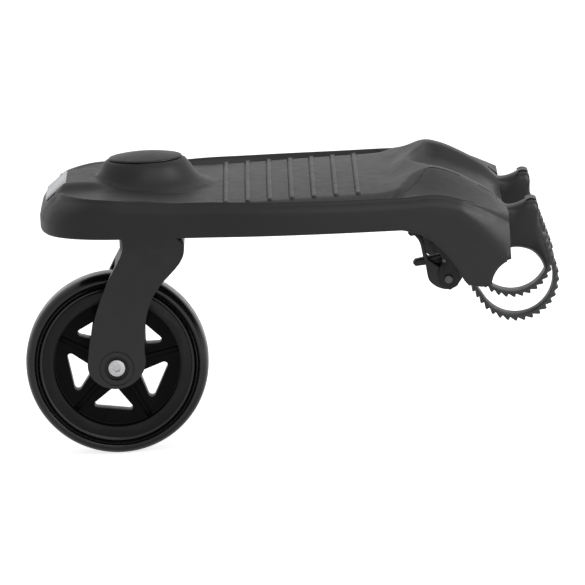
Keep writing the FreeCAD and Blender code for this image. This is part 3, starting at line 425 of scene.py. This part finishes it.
# Base colour, roughness and further settings of each look
MOULDED = {"specular": 0.27, "mottle": 0.08, "rough_spread": 0.04}
METAL = {"metallic": 1.0, "grain": 0.5, "grain_depth": 0.03}
LOOK_VALUES = {
    "deck_plastic": ((0.0150, 0.0141, 0.0144), 0.43, MOULDED),
    "cap_plastic": ((0.0165, 0.0174, 0.0168), 0.42, MOULDED),
    "grip_rubber": ((0.060, 0.0595, 0.060), 0.5, {"grain": 0.7, "grain_depth": 0.12, "specular": 0.35}),
    "reflector": ((0.50, 0.51, 0.53), 0.28,
                  {"grain": 1.2, "grain_depth": 0.05, "mottle": 0.06, "metallic": 0.35, "coat": 0.5}),
    "bush_nylon": ((0.66, 0.65, 0.60), 0.42, {"mottle": 0.05}),
    "zinc_steel": ((0.52, 0.52, 0.53), 0.30, {**METAL, "mottle": 0.10, "streak": (1.0, 1.0, 4.0)}),
    "pin_steel": ((0.085, 0.085, 0.088), 0.34, METAL),
    "spring_steel": ((0.50, 0.50, 0.52), 0.26, {"metallic": 1.0, "grain": 0.4, "grain_depth": 0.02}),
    "horn_plastic": ((0.0130, 0.0125, 0.0129), 0.40, MOULDED),
    "clamp_plastic": ((0.0085, 0.0083, 0.0087), 0.38, {"specular": 0.25, "mottle": 0.08}),
    "strap_plastic": ((0.030, 0.031, 0.032), 0.40, {"grain": 0.6, "specular": 0.3, "mottle": 0.08}),
    "lever_plastic": ((0.016, 0.0158, 0.0164), 0.40, {"specular": 0.3, "mottle": 0.08}),
    "fork_plastic": ((0.0165, 0.0165, 0.0170), 0.40, {"specular": 0.34, "mottle": 0.08}),
    "rim_plastic": ((0.0044, 0.0043, 0.0046), 0.30, {"specular": 0.2, "mottle": 0.12}),
    "tyre": ((0.0038, 0.0038, 0.0040), 0.24,
             {"grain": 0.6, "grain_depth": 0.03, "specular": 0.42, "mottle": 0.15}),
}
LOOKS = {name: surface(name, base, rough, **more) for name, (base, rough, more) in LOOK_VALUES.items()}
prismatic(LOOKS["reflector"])
# painted shade: the wheel's disc inside the rim is given less shine so that it reads as shaded
shade_disc_centre(LOOKS["rim_plastic"])


def finish_as(obj, body):
    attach(obj, body)


# Deck skin
def half_width(x):
    return DECK_HALF - along(OUTLINE, x - DECK_REAR)


def shoulder(x):
    """Size of the deck's side flare at x, across and down."""
    front = max(0.0, min(1.0, (x - FLARE_FROM) / (DECK_FRONT - FLARE_FROM))) ** FLARE_POWER
    rear = 1.0 - rise(x, *REAR_FLARE)
    return tuple(side + ahead * front + tail * rear for side, ahead, tail in (FLARE_ACROSS, FLARE_DOWN))


def foot_height(x):
    """Foot surface in the middle of the deck, which sweeps up behind the caster."""
    return FOOT - DECK_RISE * (TOE_FROM - x) + TAIL_SWEEP * (1.0 - rise(x, *TAIL))


def crown(y):
    """Fall of the foot surface from the middle of the deck to the ends of the grip strips."""
    return CROWN * min(1.0, (y / STRIP_HALF) ** 2)


def slant_height(x):
    """Sloping rear face that carries the reflector."""
    (x0, z0), (x1, z1) = SLANT_LOW, SLANT_TOP
    return z0 + (x - x0) * (z1 - z0) / (x1 - x0)


def dome_height(r):
    """Dome at a distance from the kingpin; beyond its foot it falls away below the deck."""
    base = foot_height(KINGPIN_X) - DOME_SINK
    foot = DOME[-1][0]
    if r > foot:
        return base - (r - foot)
    return base + (CAP_SEAT - base) * (along(DOME, r) if r > DOME[0][0] else 1.0)


def toe_height(x, y):
    """Height over the foot surface of the two ridges and of the crest that bows back between them."""
    inward = 1.0 - ramp(y / RIDGE_Y)
    x += TOE_BOW * inward * (1.0 - rise(x, *BOW_STOP))
    x += TOE_STEEP * inward * (min(x, CREST_X) - CREST_X)
    sag = TOE_SAG * inward * rise(x, *SAG_START)
    step = rise(x, *HOLLOW_START) * (1.0 - rise(y, *HOLLOW_ACROSS))
    deep = HOLLOW_DEEP - HOLLOW_RISE * rise(x, *HOLLOW_FRONT)
    return along(RIDGE, max(x, RIDGE[0][0])) - sag - deep * step


def top_height(x, y, gap, across):
    """Upper surface of the deck; gap is the distance from its outline, across the width of its flare."""
    a = abs(y)
    low = across + SIDE_RUN
    brink = low + GUTTER_RUN
    if x > KINGPIN_X:
        brink = max(half_width(x) - STRIP_HALF + STRIP_MARGIN, brink)
    lip = ramp((low - gap) / SIDE_RUN)
    channel = GUTTER * within(x, GUTTER_START, GUTTER_STOP) * ramp((brink - gap) / (brink - low))
    channel += crown(y) * within(x, CROWN_START, CROWN_STOP)
    channel *= 1.0 - lip
    if x > TOE_FROM:
        crest = half_width(x) - across
        front = rise(x, *FLANK_TURN)
        turn = crest - SIDE_RUN + (RIDGE_Y + RIDGE_FLAT - crest + SIDE_RUN) * front
        t = max(0.0, min(1.0, (a - turn) / (crest - turn)))
        side = ramp(t) + (t - ramp(t)) * FLANK_STRAIGHT * front
        ridge = toe_height(x, min(a, RIDGE_Y))
        z = FOOT + ridge + (along(EDGE, x) - ridge) * side - channel
    else:
        hump = (1.0 - rise(x, *HUMP)) * (1.0 - rise(a, *HUMP_ACROSS))
        beside = 1.0 - (1.0 - rise(a, *TAIL_ACROSS)) * (1.0 - rise(x, *TAIL_END))
        z = foot_height(x) + HUMP_RISE * hump + along(SIDE, x) * beside * lip - channel
    z = soft_max(z, dome_height(math.hypot(x - KINGPIN_X, y)), DOME_BLEND)
    return soft_min(z, slant_height(x), SLANT_BLEND)


def low_edge(x):
    """Lower edge of the side wall."""
    if x > NOTCH_TIP:
        return math.sqrt(NOTCH_RADIUS ** 2 - x * x)
    if x > CLAW[-1][0]:
        return CLAW[-1][1]
    return along(CLAW, x) if x > CLAW[0][0] else DECK_BOTTOM


# Places of the deck's sections along the notch, their steps behind it and their fan round the tail
NOTCH_XS = [-6, -8, -10, -12, -14, -16, -18, -19.5, -21, -22, -22.8, -23.4, -23.75, NOTCH_TIP,
            -24.2, -26, -28.5, -31]
FINE_TO, FINE_STEP = -112.0, 2.25
PLAIN_TO, PLAIN_STEP = KINGPIN_X + 5.0, 4.0
FAN_COUNT = 61
CORNER_FROM, CORNER_TO = 20.0, 80.0                # directions of the tail's corners, from straight back
CORNER_ROUND = (-7.0, -3.5, 0.0, 3.5, 7.0)         # directions that are averaged there
REACH_LEAST, REACH_MOST, HALVINGS = 20.0, 160.0, 40
TOP_SHARES = (25, 7, 7, 27)                        # points up to the slot, over its halves, to the edge
SLOT_REACH = 109.0                                 # the slot's points close up where the deck is narrower
CORE_RADIUS, CORE_LIFT = 32.0, 1.0                 # thinner roof under the cap
LIP_OUT, LIP_IN, LIP_BACK = 2.2, 0.6, 0.9          # rounding of the lower edge
LIP_STEP, LIP_ROWS = 0.25, 3
WALL_ROWS = 9


def reach_of(degrees):
    """Distance from the kingpin to the rear outline in a direction."""
    dx, dy = polar((0.0, 0.0), 1.0, degrees)
    low, high = REACH_LEAST, REACH_MOST
    for _ in range(HALVINGS):
        mid = (low + high) / 2
        x, y = KINGPIN_X + dx * mid, abs(dy * mid)
        if x > DECK_REAR and y < half_width(x):
            low = mid
        else:
            high = mid
    return low


def deck_rays():
    """Lines from the middle of the deck to its side wall: (origin x, direction, reach)."""
    xs = list(NOTCH_XS)
    while xs[-1] > FINE_TO:
        xs.append(xs[-1] - FINE_STEP)
    while xs[-1] > PLAIN_TO:
        xs.append(xs[-1] - PLAIN_STEP)
    right = [(x, (0.0, -1.0), half_width(x)) for x in xs]
    fan = []
    for a in spread(-90.0, -270.0, FAN_COUNT):
        corner = CORNER_FROM < abs(a + 180.0) < CORNER_TO
        near = [reach_of(a + d) for d in (CORNER_ROUND if corner else (0.0,))]
        fan.append((KINGPIN_X, polar((0.0, 0.0), 1.0, a), sum(near) / len(near)))
    left = [(x, (0.0, 1.0), reach) for x, _, reach in reversed(right)]
    return right + fan + left


def deck_section(x0, turn, reach):
    """Outer and inner points of the shell on one ray."""
    end_x = x0 + turn[0] * reach
    across, down = shoulder(end_x)
    low = low_edge(end_x)

    def line(inset):
        crest = reach - across - inset / 2
        scale = min(1.0, (reach - across) / SLOT_REACH)
        knots = [0.0, SLOT_IN * scale, CLAMP_Y * scale, SLOT_OUT * scale, crest]
        spans = []
        for a, b, n in zip(knots, knots[1:], TOP_SHARES):
            spans += spread(a, b, n)[:-1]
        out = []

        def put(s, z):
            x = x0 + turn[0] * s
            out.append((x, turn[1] * s, min(z, slant_height(x) - inset)))

        for s in spans + [crest]:
            x, y = x0 + turn[0] * s, turn[1] * s
            core = inset and math.hypot(x - KINGPIN_X, y) < CORE_RADIUS
            put(s, top_height(x, y, reach - s, across) - inset + (CORE_LIFT if core else 0.0))
        edge = out[-1][2]
        wide = across - inset / 2
        drop = down - inset / 2
        full = crest + wide
        lip = LIP_IN if inset else LIP_OUT
        for out_share, down_share in LEDGE[1:]:
            put(crest + wide * out_share, max(edge - drop * down_share, low + lip))
        for z in spread(max(edge - drop, low + lip), low + lip, WALL_ROWS)[1:]:
            put(full, z)
        for k in range(1, LIP_ROWS + 1):
            a = math.radians(90.0 / LIP_ROWS * k)
            if inset:
                put(full + LIP_STEP * k, low + lip * (1 - k / LIP_ROWS))
            else:
                put(full - LIP_BACK * (1 - math.cos(a)), low + lip * (1 - math.sin(a)))
        return out

    return line(0.0), line(WALL)


def deck_mesh():
    """Closed shell of the deck: outer and inner skin, joined round its rims and slots."""
    rays = deck_rays()
    sections = [deck_section(*ray) for ray in rays]
    count = len(sections[0][0])
    first, last = TOP_SHARES[0] - 1, sum(TOP_SHARES[:3]) - 3
    verts = []
    for outer, inner in sections:
        verts += outer + inner

    def outside(i, j):
        return i * 2 * count + j

    def inside(i, j):
        return i * 2 * count + count + j

    cells = set()
    for i in range(len(rays) - 1):
        slotted = all(ray[1][0] == 0 and ray[0] >= SLOT_BACK for ray in (rays[i], rays[i + 1]))
        for j in range(count - 1):
            if not (slotted and first <= j < last):
                cells.add((i, j))
    faces = []
    for i, j in cells:
        faces.append((outside(i, j), outside(i, j + 1), outside(i + 1, j + 1), outside(i + 1, j)))
        faces.append((inside(i, j), inside(i + 1, j), inside(i + 1, j + 1), inside(i, j + 1)))
        rims = [((i, j - 1), (i, j), (i + 1, j)), ((i, j + 1), (i, j + 1), (i + 1, j + 1)),
                ((i - 1, j), (i, j), (i, j + 1)), ((i + 1, j), (i + 1, j), (i + 1, j + 1))]
        for beside, a, b in rims:
            if beside not in cells and beside[1] >= 0:
                faces.append((outside(*a), outside(*b), inside(*b), inside(*a)))
    return verts, faces


# Grooves of the deck on one side: x and distance from the middle
TRAY_BORDER = [(-108, 131), (-97, 126), (-86, 114), (-77, 99), (-73, 89)]
RIDGE_SLIT = [(-71, 81.5), (-66.5, 76.8), (-54, 76.5), (-42, 76.5)]
FRONT_SLIT = [(-28, 76.5), (-21, 76.5), (-15, 76.5)]
# Bars that cut the grooves: radius, height over the surface
BORDER_BAR, SLIT_BAR, STRIP_BAR = (0.8, 0.4), (1.1, -0.2), (0.6, 0.05)
STRIP_BAR_BACK, STRIP_BAR_HALF = 0.45, 100.0
DECK_SHARP = 32.0


def on_deck(x, y, lift):
    return x, y, top_height(x, y, half_width(x) - abs(y), shoulder(x)[0]) + lift


def deck_grooves():
    """Round bars that cut the tray's border, the slits on the ridges and a line beside each grip strip."""
    lines = []
    for side in (-1, 1):
        grooves = [(flow(TRAY_BORDER, 5), BORDER_BAR), (flow(RIDGE_SLIT, 5), SLIT_BAR),
                   (FRONT_SLIT, SLIT_BAR)]
        lines += [([(x, side * y) for x, y in line], bar) for line, bar in grooves]
    for i in range(STRIP_COUNT):
        x = STRIP_FIRST + STRIP_PITCH * i - STRIP_WIDTH / 2 - STRIP_BAR_BACK
        lines.append(([(x, y) for y in spread(-STRIP_BAR_HALF, STRIP_BAR_HALF, 5)], STRIP_BAR))
    return merge([tube([on_deck(x, y, lift) for x, y in line], radius) for line, (radius, lift) in lines])


deck = make("deck_skin", *deck_mesh(), LOOKS["deck_plastic"], DECK_SHARP)
cut(deck, make("deck_groove_bars", *deck_grooves(), LOOKS["deck_plastic"]), DECK_SHARP)
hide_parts("deck_shell")
finish_as(deck, "deck")

# Front wall under the skin: heights of its lower edge beside and between the claws
WALL_LOW, WALL_LOW_MIDDLE, WALL_MIDDLE_HALF = 22.8, 30.0, 45.0
WALL_UNDER = 2.9            # it ends this far below the skin
WALL_END = 1.2              # and this far inside the outline
WALL_LEAST = 0.5            # and is at least this high
WALL_POINTS = 40
FAR_INSIDE = 60.0           # a distance from the outline at which the channel has ended


def front_walls():
    x0, x1 = DECK_FRONT - WALL, DECK_FRONT
    middle = (x0 + x1) / 2
    across, down = shoulder(middle)
    crest = half_width(middle) - across

    def roof(y):
        over = max(0.0, (abs(y) - crest) / across)
        z = top_height(middle, min(abs(y), crest), FAR_INSIDE, across)
        return z - down * along(LEDGE, min(over, 1.0)) - WALL_UNDER

    end = half_width(x1) - WALL_END
    spans = [(-end, -SLOT_OUT, WALL_LOW), (-SLOT_IN, -WALL_MIDDLE_HALF, WALL_LOW),
             (-WALL_MIDDLE_HALF, WALL_MIDDLE_HALF, WALL_LOW_MIDDLE),
             (WALL_MIDDLE_HALF, SLOT_IN, WALL_LOW), (SLOT_OUT, end, WALL_LOW)]
    parts = []
    for a, b, low in spans:
        top = [(y, max(roof(y), low + WALL_LEAST)) for y in spread(a, b, WALL_POINTS)]
        parts.append(upright([(a, low)] + top + [(b, low)], x0, x1))
    return merge(parts)


wall = make("deck_front_wall", *front_walls(), LOOKS["deck_plastic"])
finish_as(wall, "deck")

# Grip strips
STRIP_ARC = 12              # steps over a strip's round back
STRIP_POINTS = 40
STRIP_SQUARE = 0.6          # below 1, the back is fuller than a half circle
STRIP_ROOT = 1.0            # depth of its foot in the deck
STRIP_TIP = 0.02            # least share of its width, at the very ends
END_TURNS = (0, 25, 50, 70, 90)
# Round button at each end of a strip: radius, height
BUTTON = [(0.0, 0.9), (0.8, 1.0), (1.1, 1.5), (1.6, 1.6), (2.0, 1.3), (2.1, -0.8), (0.0, -0.8)]
BUTTON_IN = 1.5


def strip_mesh():
    parts = []
    half = STRIP_WIDTH / 2
    ys = [-STRIP_HALF + half * (1 - math.cos(math.radians(a))) for a in END_TURNS]
    ys += spread(-STRIP_HALF + half, STRIP_HALF - half, STRIP_POINTS)[1:-1]
    ys += [-y for y in ys[len(END_TURNS) - 1::-1]]
    for i in range(STRIP_COUNT):
        x0 = STRIP_FIRST + STRIP_PITCH * i
        verts = []
        for y in ys:
            ground = foot_height(x0) - crown(y)
            over = max(0.0, abs(y) - (STRIP_HALF - half)) / half
            size = math.sqrt(max(0.0, 1 - over * over))
            for k in range(STRIP_ARC + 1):
                a = math.pi * k / STRIP_ARC
                lift = STRIP_PROUD * math.sin(a) ** STRIP_SQUARE * max(size, STRIP_TIP) ** 0.5
                verts.append((x0 - half * size * math.cos(a), y, ground + lift))
            verts.append((x0 + half * size, y, ground - STRIP_ROOT))
            verts.append((x0 - half * size, y, ground - STRIP_ROOT))
        parts.append((verts, loft(len(ys), STRIP_ARC + 3)))
        for y0 in (-STRIP_HALF + BUTTON_IN, STRIP_HALF - BUTTON_IN):
            verts, faces = lathe(BUTTON, lambda u, v, h: (u, v, h), 28)
            z0 = foot_height(x0) - CROWN
            parts.append(([(x0 + u, y0 + v, z0 + h) for u, v, h in verts], faces))
    return merge(parts)


strips = make("grip_ribs", *strip_mesh(), LOOKS["grip_rubber"], sharp=50.0)
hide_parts("grip_strips")
finish_as(strips, "deck")

# Cap: heights over its seat of the crown and of the edge, radii of the crown's points, then its edge and
# skirt as radius and height
CAP_TOP, CAP_EDGE = 5.0, 1.6
CAP_FROM, CAP_TO, CAP_POINTS = 1.5, 28.6, 18
CAP_RIM = [(29.4, 1.65), (29.85, 1.25), (30.0, 0.8), (29.9, 0.5), (29.3, 0.3), (27.2, 0.3), (26.9, 0.0),
           (26.9, -6.0), (24.0, -6.0), (24.0, 1.5), (0.0, 1.5)]


def cap_rows():
    """Profile of the cap: a shallow ball over a rounded rim."""
    drop = CAP_TOP - CAP_EDGE
    ball = (CAP_RADIUS ** 2 + drop ** 2) / (2 * drop)
    radii = spread(CAP_FROM, CAP_TO, CAP_POINTS)
    crown_rows = [(r, CAP_TOP - ball + math.sqrt(ball ** 2 - r * r)) for r in radii]
    return [(r, CAP_SEAT + h) for r, h in [(0.0, CAP_TOP)] + crown_rows + CAP_RIM]


cap = make("cap_dome", *lathe(cap_rows(), on_kingpin, 128), LOOKS["cap_plastic"])
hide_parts("pivot_cap")
finish_as(cap, "deck")

# Wheel: half of the tyre's section, radius and distance from the middle, and its seat on the rim
TYRE_HALF = [(61.0, 15.6), (62.2, 16.5), (63.2, 16.5), (63.8, 15.3), (64.4, 16.3), (64.9, 17.6), (65.5, 18.2),
             (66.1, 17.7), (66.5, 16.6), (67.0, 16.2), (67.7, 17.2), (69.0, 17.7), (70.6, 17.2), (72.0, 16.0),
             (73.4, 14.0), (74.3, 11.6), (74.8, 8.6), (75.0, 5.0), (75.0, 0.0)]
TYRE_SEAT = [(61.0, -8.0), (61.0, 8.0)]
SPOKE_COUNT, SPOKE_TURN = 5, -62.0
# Rib of a spoke: radius, half width, height over the middle of the wheel
RIB = [(15.5, 2.6, 11.4), (24.0, 2.2, 11.2), (38.0, 1.9, 9.4), (52.4, 2.2, 7.6)]
RIB_CHAMFER, RIB_ROOT = 0.7, 3.0


def tyre_rows():
    return TYRE_HALF + [(r, -y) for r, y in reversed(TYRE_HALF[:-1])] + TYRE_SEAT


def rib_section(half, top):
    """Half of a chamfered rib's section and its mirror: (across, height)."""
    near = [(-half, top - RIB_ROOT), (-half, top - RIB_CHAMFER), (-half + RIB_CHAMFER, top)]
    return near + [(-w, h) for w, h in reversed(near)]


def spoke_ribs():
    """Raised rib along the middle of each spoke, both sides of the disc."""
    parts = []
    for i in range(SPOKE_COUNT):
        a = math.radians(SPOKE_TURN + 360.0 / SPOKE_COUNT * i)
        c, s = math.cos(a), math.sin(a)
        for side in (-1, 1):
            verts = []
            for r, half, top in RIB:
                section = rib_section(half, top)
                verts += [on_axle(r * c - w * s, r * s + w * c, side * h) for w, h in section]
            parts.append((verts, loft(len(RIB), len(section))))
    return merge(parts)


tyre = make("tyre_ring", *lathe(tyre_rows(), on_axle, 160), LOOKS["tyre"], sharp=40.0)
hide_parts("tyre")
finish_as(tyre, "wheel")
ribs = make("spoke_ribs", *spoke_ribs(), LOOKS["rim_plastic"], sharp=50.0)
finish_as(ribs, "wheel")

# The other solids: copies with their edges rounded, or the solids themselves with a look
BEVELS = {"fork": 1.0, "wheel_rim": 0.7, "reflector": 0.3, "deck_base": 0.4, "axle_bolt": 0.6,
          "axle_nut": 0.4, "lever_pins": 0.4, "pawl_pins": 0.3, "strap_pins": 0.4}
CLAMP_BEVELS = {"saddle": 0.8, "strap": 0.35, "lever": 0.5, "ratchet_frame": 0.5, "pawl": 0.5}
for kind, size in CLAMP_BEVELS.items():
    for side in SIDES:
        BEVELS[f"{kind}_{side}"] = size
OWN_LOOKS = {"strap_pins": "clamp_plastic", "pawl_pins": "pin_steel", "lever_pins": "pin_steel"}
REMADE = {"deck_shell", "grip_strips", "pivot_cap", "tyre", "strap_keeper_right", "strap_keeper_left"}
SOLID_SHARP = 38.0
NECK_FROM = 21.9            # height from which the fork's crown narrows
CROWN_POST = 26.0           # radius of the crown's round post
CROWN_FLAT = 18.0           # the crown's sides are flat beyond this distance from the middle
FORK_OUT = 35.0
BOLT_OUT, BOLT_FACE = -40.0, -34.4
HEX_RADIUS, HEX_DEEP, HEX_TURN = 3.6, 3.8, 12.0
PIN_SHARE = 0.82            # the strap pins end flush with the rounded cheeks
SADDLE_WIDE, SADDLE_TRIM = 150.0, 128.0    # the saddles' front corners end inside the flare of the deck
EDGE_BOX = [(-34.0, 26.0), (0.0, 26.0), (0.0, 80.0), (-34.0, 80.0)]
FINGER_BOX = [(-6.6, -40.0), (40.0, -40.0), (40.0, 90.0), (-6.6, 90.0)]
slots = {part["node"]: part["material_slot"] for part in frame["record"]["subparts"]}
body_of = {node: body for body, nodes in frame["record"]["behaviour"]["bodies"].items() for node in nodes}


def square_crown(mesh):
    """Carries the flat sides of the fork's legs up to the top of its crown."""
    for vert in mesh.vertices:
        x, y, z = (c / MM for c in vert.co)
        if z > NECK_FROM and math.hypot(x - KINGPIN_X, y) > CROWN_POST:
            vert.co.y = math.copysign(FORK_OUT * min(1.0, abs(y) / CROWN_FLAT), y) * MM


def shorten_pins(mesh):
    """Draws the ends of the strap pins in towards the middle of each strap."""
    for vert in mesh.vertices:
        middle = math.copysign(CLAMP_Y * MM, vert.co.y)
        vert.co.y = middle + (vert.co.y - middle) * PIN_SHARE


def bolt_recess(piece, look):
    """Hexagon in the head of the axle bolt."""
    hexagon = [polar((WHEEL_X, WHEEL_Z), HEX_RADIUS, 60.0 * k + HEX_TURN) for k in range(6)]
    cut(piece, make("bolt_recess", *prism(hexagon, BOLT_OUT, BOLT_FACE + HEX_DEEP), look), SOLID_SHARP)


def trim_saddle(piece, node, look):
    """Takes off a saddle's plain fingers and its front corners."""
    cut(piece, make(node + "_front", *prism(FINGER_BOX, -SADDLE_WIDE, SADDLE_WIDE), look))
    for edge in (-SADDLE_WIDE, SADDLE_TRIM):
        cut(piece, make(node + "_edge", *prism(EDGE_BOX, edge, edge + SADDLE_WIDE - SADDLE_TRIM), look))


def rounded_solid(node, source, look):
    mesh = source.data.copy()
    if node == "strap_pins":
        shorten_pins(mesh)
    if node == "fork":
        square_crown(mesh)
    piece = settle(node + "_form", mesh, look, SOLID_SHARP, BEVELS[node])
    if node == "axle_bolt":
        bolt_recess(piece, look)
    if node == "fork":
        shading = piece.modifiers.new("even_shading", "WEIGHTED_NORMAL")
        shading.keep_sharp = True
    if node.startswith("saddle"):
        trim_saddle(piece, node, look)
    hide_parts(node)
    finish_as(piece, body_of[node])


for node, obj in frame["nodes"].items():
    if node in REMADE:
        continue
    look = LOOKS[OWN_LOOKS.get(node, slots[node])]
    if node in BEVELS:
        rounded_solid(node, obj, look)
    else:
        obj.data.materials.clear()
        obj.data.materials.append(look)

# Fingers of the saddles. Outer line of a finger: x, z, direction of the matching place on the axle's
# seat, squareness of the section
HORN = [(-13.6, 63.6, 124, 7), (-10, 60.0, 118, 7), (-6, 56.8, 112, 5), (0, 57.2, 104, 3.2),
        (6, 59, 96, 3.2), (12, 61.6, 87, 3.4), (17.6, 61, 80, 3.4), (20.4, 57, 73, 3.4), (20.2, 51, 66, 2.9),
        (20.6, 44, 58, 2.3), (22.4, 35, 46, 2.2), (24.6, 27, 36, 2.2), (26.2, 19, 25, 2.2),
        (26.8, 12.5, 16, 2.2), (25.4, 6.5, 11.5, 2.2), (22.9, 3.8, 9.4, 2.2)]
HORN_RING = 36
HORN_SHARP = 45.0
MOUTH_HALF = 10.4           # half width of the cut in which the strap swings
STRAP_MOUTH = [(12.8, 53.0), (33.5, -19.0), (74.0, 56.0), (74.0, 65.5), (10.3, 65.5), (10.3, 59.0)]
EYE_RADIUS, EYE_POINTS = 6.0, 48
KEEPER_OUT, KEEPER_IN, KEEPER_HALF = 6.9, 6.1, 8.5
KEEPER_TURNS = range(50, 131, 8)


def horn_mesh(middle):
    """Rounded hook of a saddle in front of the axle; each station runs from the seat to the outer line."""
    verts = []
    line = flow(HORN, 4)
    for x, z, seat, square in line:
        power = 2.0 / square
        ix, iz = polar((0.0, 0.0), AXLE_RADIUS, seat)
        for k in range(HORN_RING):
            a = 2 * math.pi * k / HORN_RING
            c, d = math.cos(a), math.sin(a)
            share = 0.5 + math.copysign(abs(c) ** power, c) / 2
            out = math.copysign(abs(d) ** power, d)
            verts.append((ix + (x - ix) * share, middle + FINGER_HALF * out, iz + (z - iz) * share))
    return verts, loft(len(line), HORN_RING)


def add_horn(side, middle):
    look = LOOKS["horn_plastic"]
    horn = make("saddle_horn_" + side, *horn_mesh(middle), look, HORN_SHARP)
    eye = [polar(PIVOT, EYE_RADIUS, 360.0 / EYE_POINTS * k) for k in range(EYE_POINTS)]
    for name, outline in (("eye", eye), ("mouth", STRAP_MOUTH)):
        bar = prism(outline, middle - MOUTH_HALF, middle + MOUTH_HALF)
        cut(horn, make(f"{name}_bar_{side}", *bar, look), HORN_SHARP)
    finish_as(horn, body_of["saddle_" + side])


def add_keeper(side, middle):
    """Thin arc over the top end of a strap."""
    arc = [polar(PIVOT, KEEPER_OUT, a) for a in KEEPER_TURNS]
    arc += [polar(PIVOT, KEEPER_IN, a) for a in reversed(KEEPER_TURNS)]
    bar = prism(arc, middle - KEEPER_HALF, middle + KEEPER_HALF)
    keeper = make(f"strap_keeper_{side}_arc", *bar, LOOKS["clamp_plastic"])
    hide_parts("strap_keeper_" + side)
    finish_as(keeper, body_of["strap_keeper_" + side])


for side, sign in SIDES.items():
    add_horn(side, sign * CLAMP_Y)
    add_keeper(side, sign * CLAMP_Y)

# Floor, light and camera, in metres
FLOOR_REACH = 12.0
FLOOR_GREY = 0.80
FLOOR_GLOW = {"Is Camera Ray": 0.80, "Is Glossy Ray": 0.25, "Is Transmission Ray": 0.25}
ROOM_LIGHT = 0.47
WALLS_TO_CEILING = {"From Min": 0.04, "From Max": 0.30, "To Min": 1.0, "To Max": 0.70}
# Place, target, size and watts of each lamp
LAMPS = {"key": ((0.05, -1.15, 1.40), (-0.15, 0.0, 0.0), 0.9, 5.0),
         "side": ((1.34, -0.62, 1.12), (-0.03, -0.13, 0.05), 0.9, 26.0),
         "fill": ((0.3, -1.8, 0.1), (-0.2, 0.0, -0.05), 1.0, 2.5)}
CAMERA_TARGET, CAMERA_DISTANCE = (-0.1816, 0.0, -0.01883), 5.0
CAMERA_TILT, CAMERA_ROLL = 10.0, -3.0
CAMERA_LENS, CAMERA_SENSOR, CAMERA_END = 375.2, 36.0, 60.0


def floor_material():
    """Pale floor: white to the camera and in reflections, with the object's shadow left on it."""
    mat = bpy.data.materials.new("floor")
    mat.use_nodes = True
    nodes, links = mat.node_tree.nodes, mat.node_tree.links
    nodes.remove(nodes["Principled BSDF"])
    matt = nodes.new("ShaderNodeBsdfDiffuse")
    matt.inputs["Color"].default_value = (FLOOR_GREY, FLOOR_GREY, FLOOR_GREY, 1)
    glow = nodes.new("ShaderNodeEmission")
    path = nodes.new("ShaderNodeLightPath")
    level = None
    for flag, share in FLOOR_GLOW.items():
        part = nodes.new("ShaderNodeMath")
        part.operation = "MULTIPLY_ADD"
        links.new(path.outputs[flag], part.inputs[0])
        part.inputs[1].default_value = share
        part.inputs[2].default_value = 0.0
        if level:
            links.new(level, part.inputs[2])
        level = part.outputs[0]
    links.new(level, glow.inputs["Strength"])
    both = nodes.new("ShaderNodeAddShader")
    links.new(matt.outputs[0], both.inputs[0])
    links.new(glow.outputs[0], both.inputs[1])
    links.new(both.outputs[0], nodes["Material Output"].inputs["Surface"])
    return mat


def stage_floor():
    """Large flat floor under the wheel."""
    mesh = bpy.data.meshes.new("floor")
    signs = [(-1, -1), (1, -1), (1, 1), (-1, 1)]
    corners = [(u * FLOOR_REACH, v * FLOOR_REACH, GROUND * MM) for u, v in signs]
    mesh.from_pydata(corners, [], [(0, 1, 2, 3)])
    mesh.materials.append(floor_material())
    obj = bpy.data.objects.new("floor", mesh)
    scene.collection.objects.link(obj)


def world_light():
    """White room: plain light on the object, and in reflections white walls under a darker ceiling."""
    world = bpy.data.worlds.new("studio")
    scene.world = world
    world.use_nodes = True
    nodes, links = world.node_tree.nodes, world.node_tree.links
    back = nodes["Background"]
    path = nodes.new("ShaderNodeLightPath")
    coords = nodes.new("ShaderNodeTexCoord")
    parts = nodes.new("ShaderNodeSeparateXYZ")
    links.new(coords.outputs["Generated"], parts.inputs["Vector"])
    room = nodes.new("ShaderNodeMapRange")
    room.interpolation_type = "SMOOTHSTEP"
    set_inputs(room, WALLS_TO_CEILING)
    links.new(parts.outputs["Z"], room.inputs["Value"])

    def choose(flag, low, high):
        node = nodes.new("ShaderNodeMix")
        links.new(path.outputs[flag], node.inputs["Factor"])
        for socket, value in (("A", low), ("B", high)):
            if isinstance(value, float):
                node.inputs[socket].default_value = value
            else:
                links.new(value, node.inputs[socket])
        return node.outputs["Result"]

    level = choose("Is Glossy Ray", ROOM_LIGHT, room.outputs["Result"])
    level = choose("Is Transmission Ray", level, 1.0)
    level = choose("Is Camera Ray", level, 1.0)
    links.new(level, back.inputs["Strength"])
    back.inputs["Color"].default_value = (1, 1, 1, 1)


def lamp(name, place, target, size, watts):
    data = bpy.data.lights.new(name, "AREA")
    data.shape = "SQUARE"
    data.size = size
    data.energy = watts
    obj = bpy.data.objects.new(name, data)
    scene.collection.objects.link(obj)
    obj.location = place
    obj.rotation_euler = (Vector(target) - Vector(place)).to_track_quat("-Z", "Y").to_euler()


def photo_camera():
    """Camera at the photograph's height and roll."""
    target = Vector(CAMERA_TARGET)
    tilt = math.radians(CAMERA_TILT)
    data = bpy.data.cameras.new("camera")
    data.sensor_width = CAMERA_SENSOR
    data.lens = CAMERA_LENS
    data.clip_end = CAMERA_END
    obj = bpy.data.objects.new("camera", data)
    scene.collection.objects.link(obj)
    obj.location = target + Vector((0.0, -math.cos(tilt), math.sin(tilt))) * CAMERA_DISTANCE
    look = (target - obj.location).to_track_quat("-Z", "Y").to_matrix()
    obj.rotation_euler = (look @ Matrix.Rotation(math.radians(CAMERA_ROLL), 3, "Z")).to_euler()
    scene.camera = obj


stage_floor()
world_light()
for name, values in LAMPS.items():
    lamp(name, *values)
photo_camera()
scene.view_settings.view_transform = "Standard"
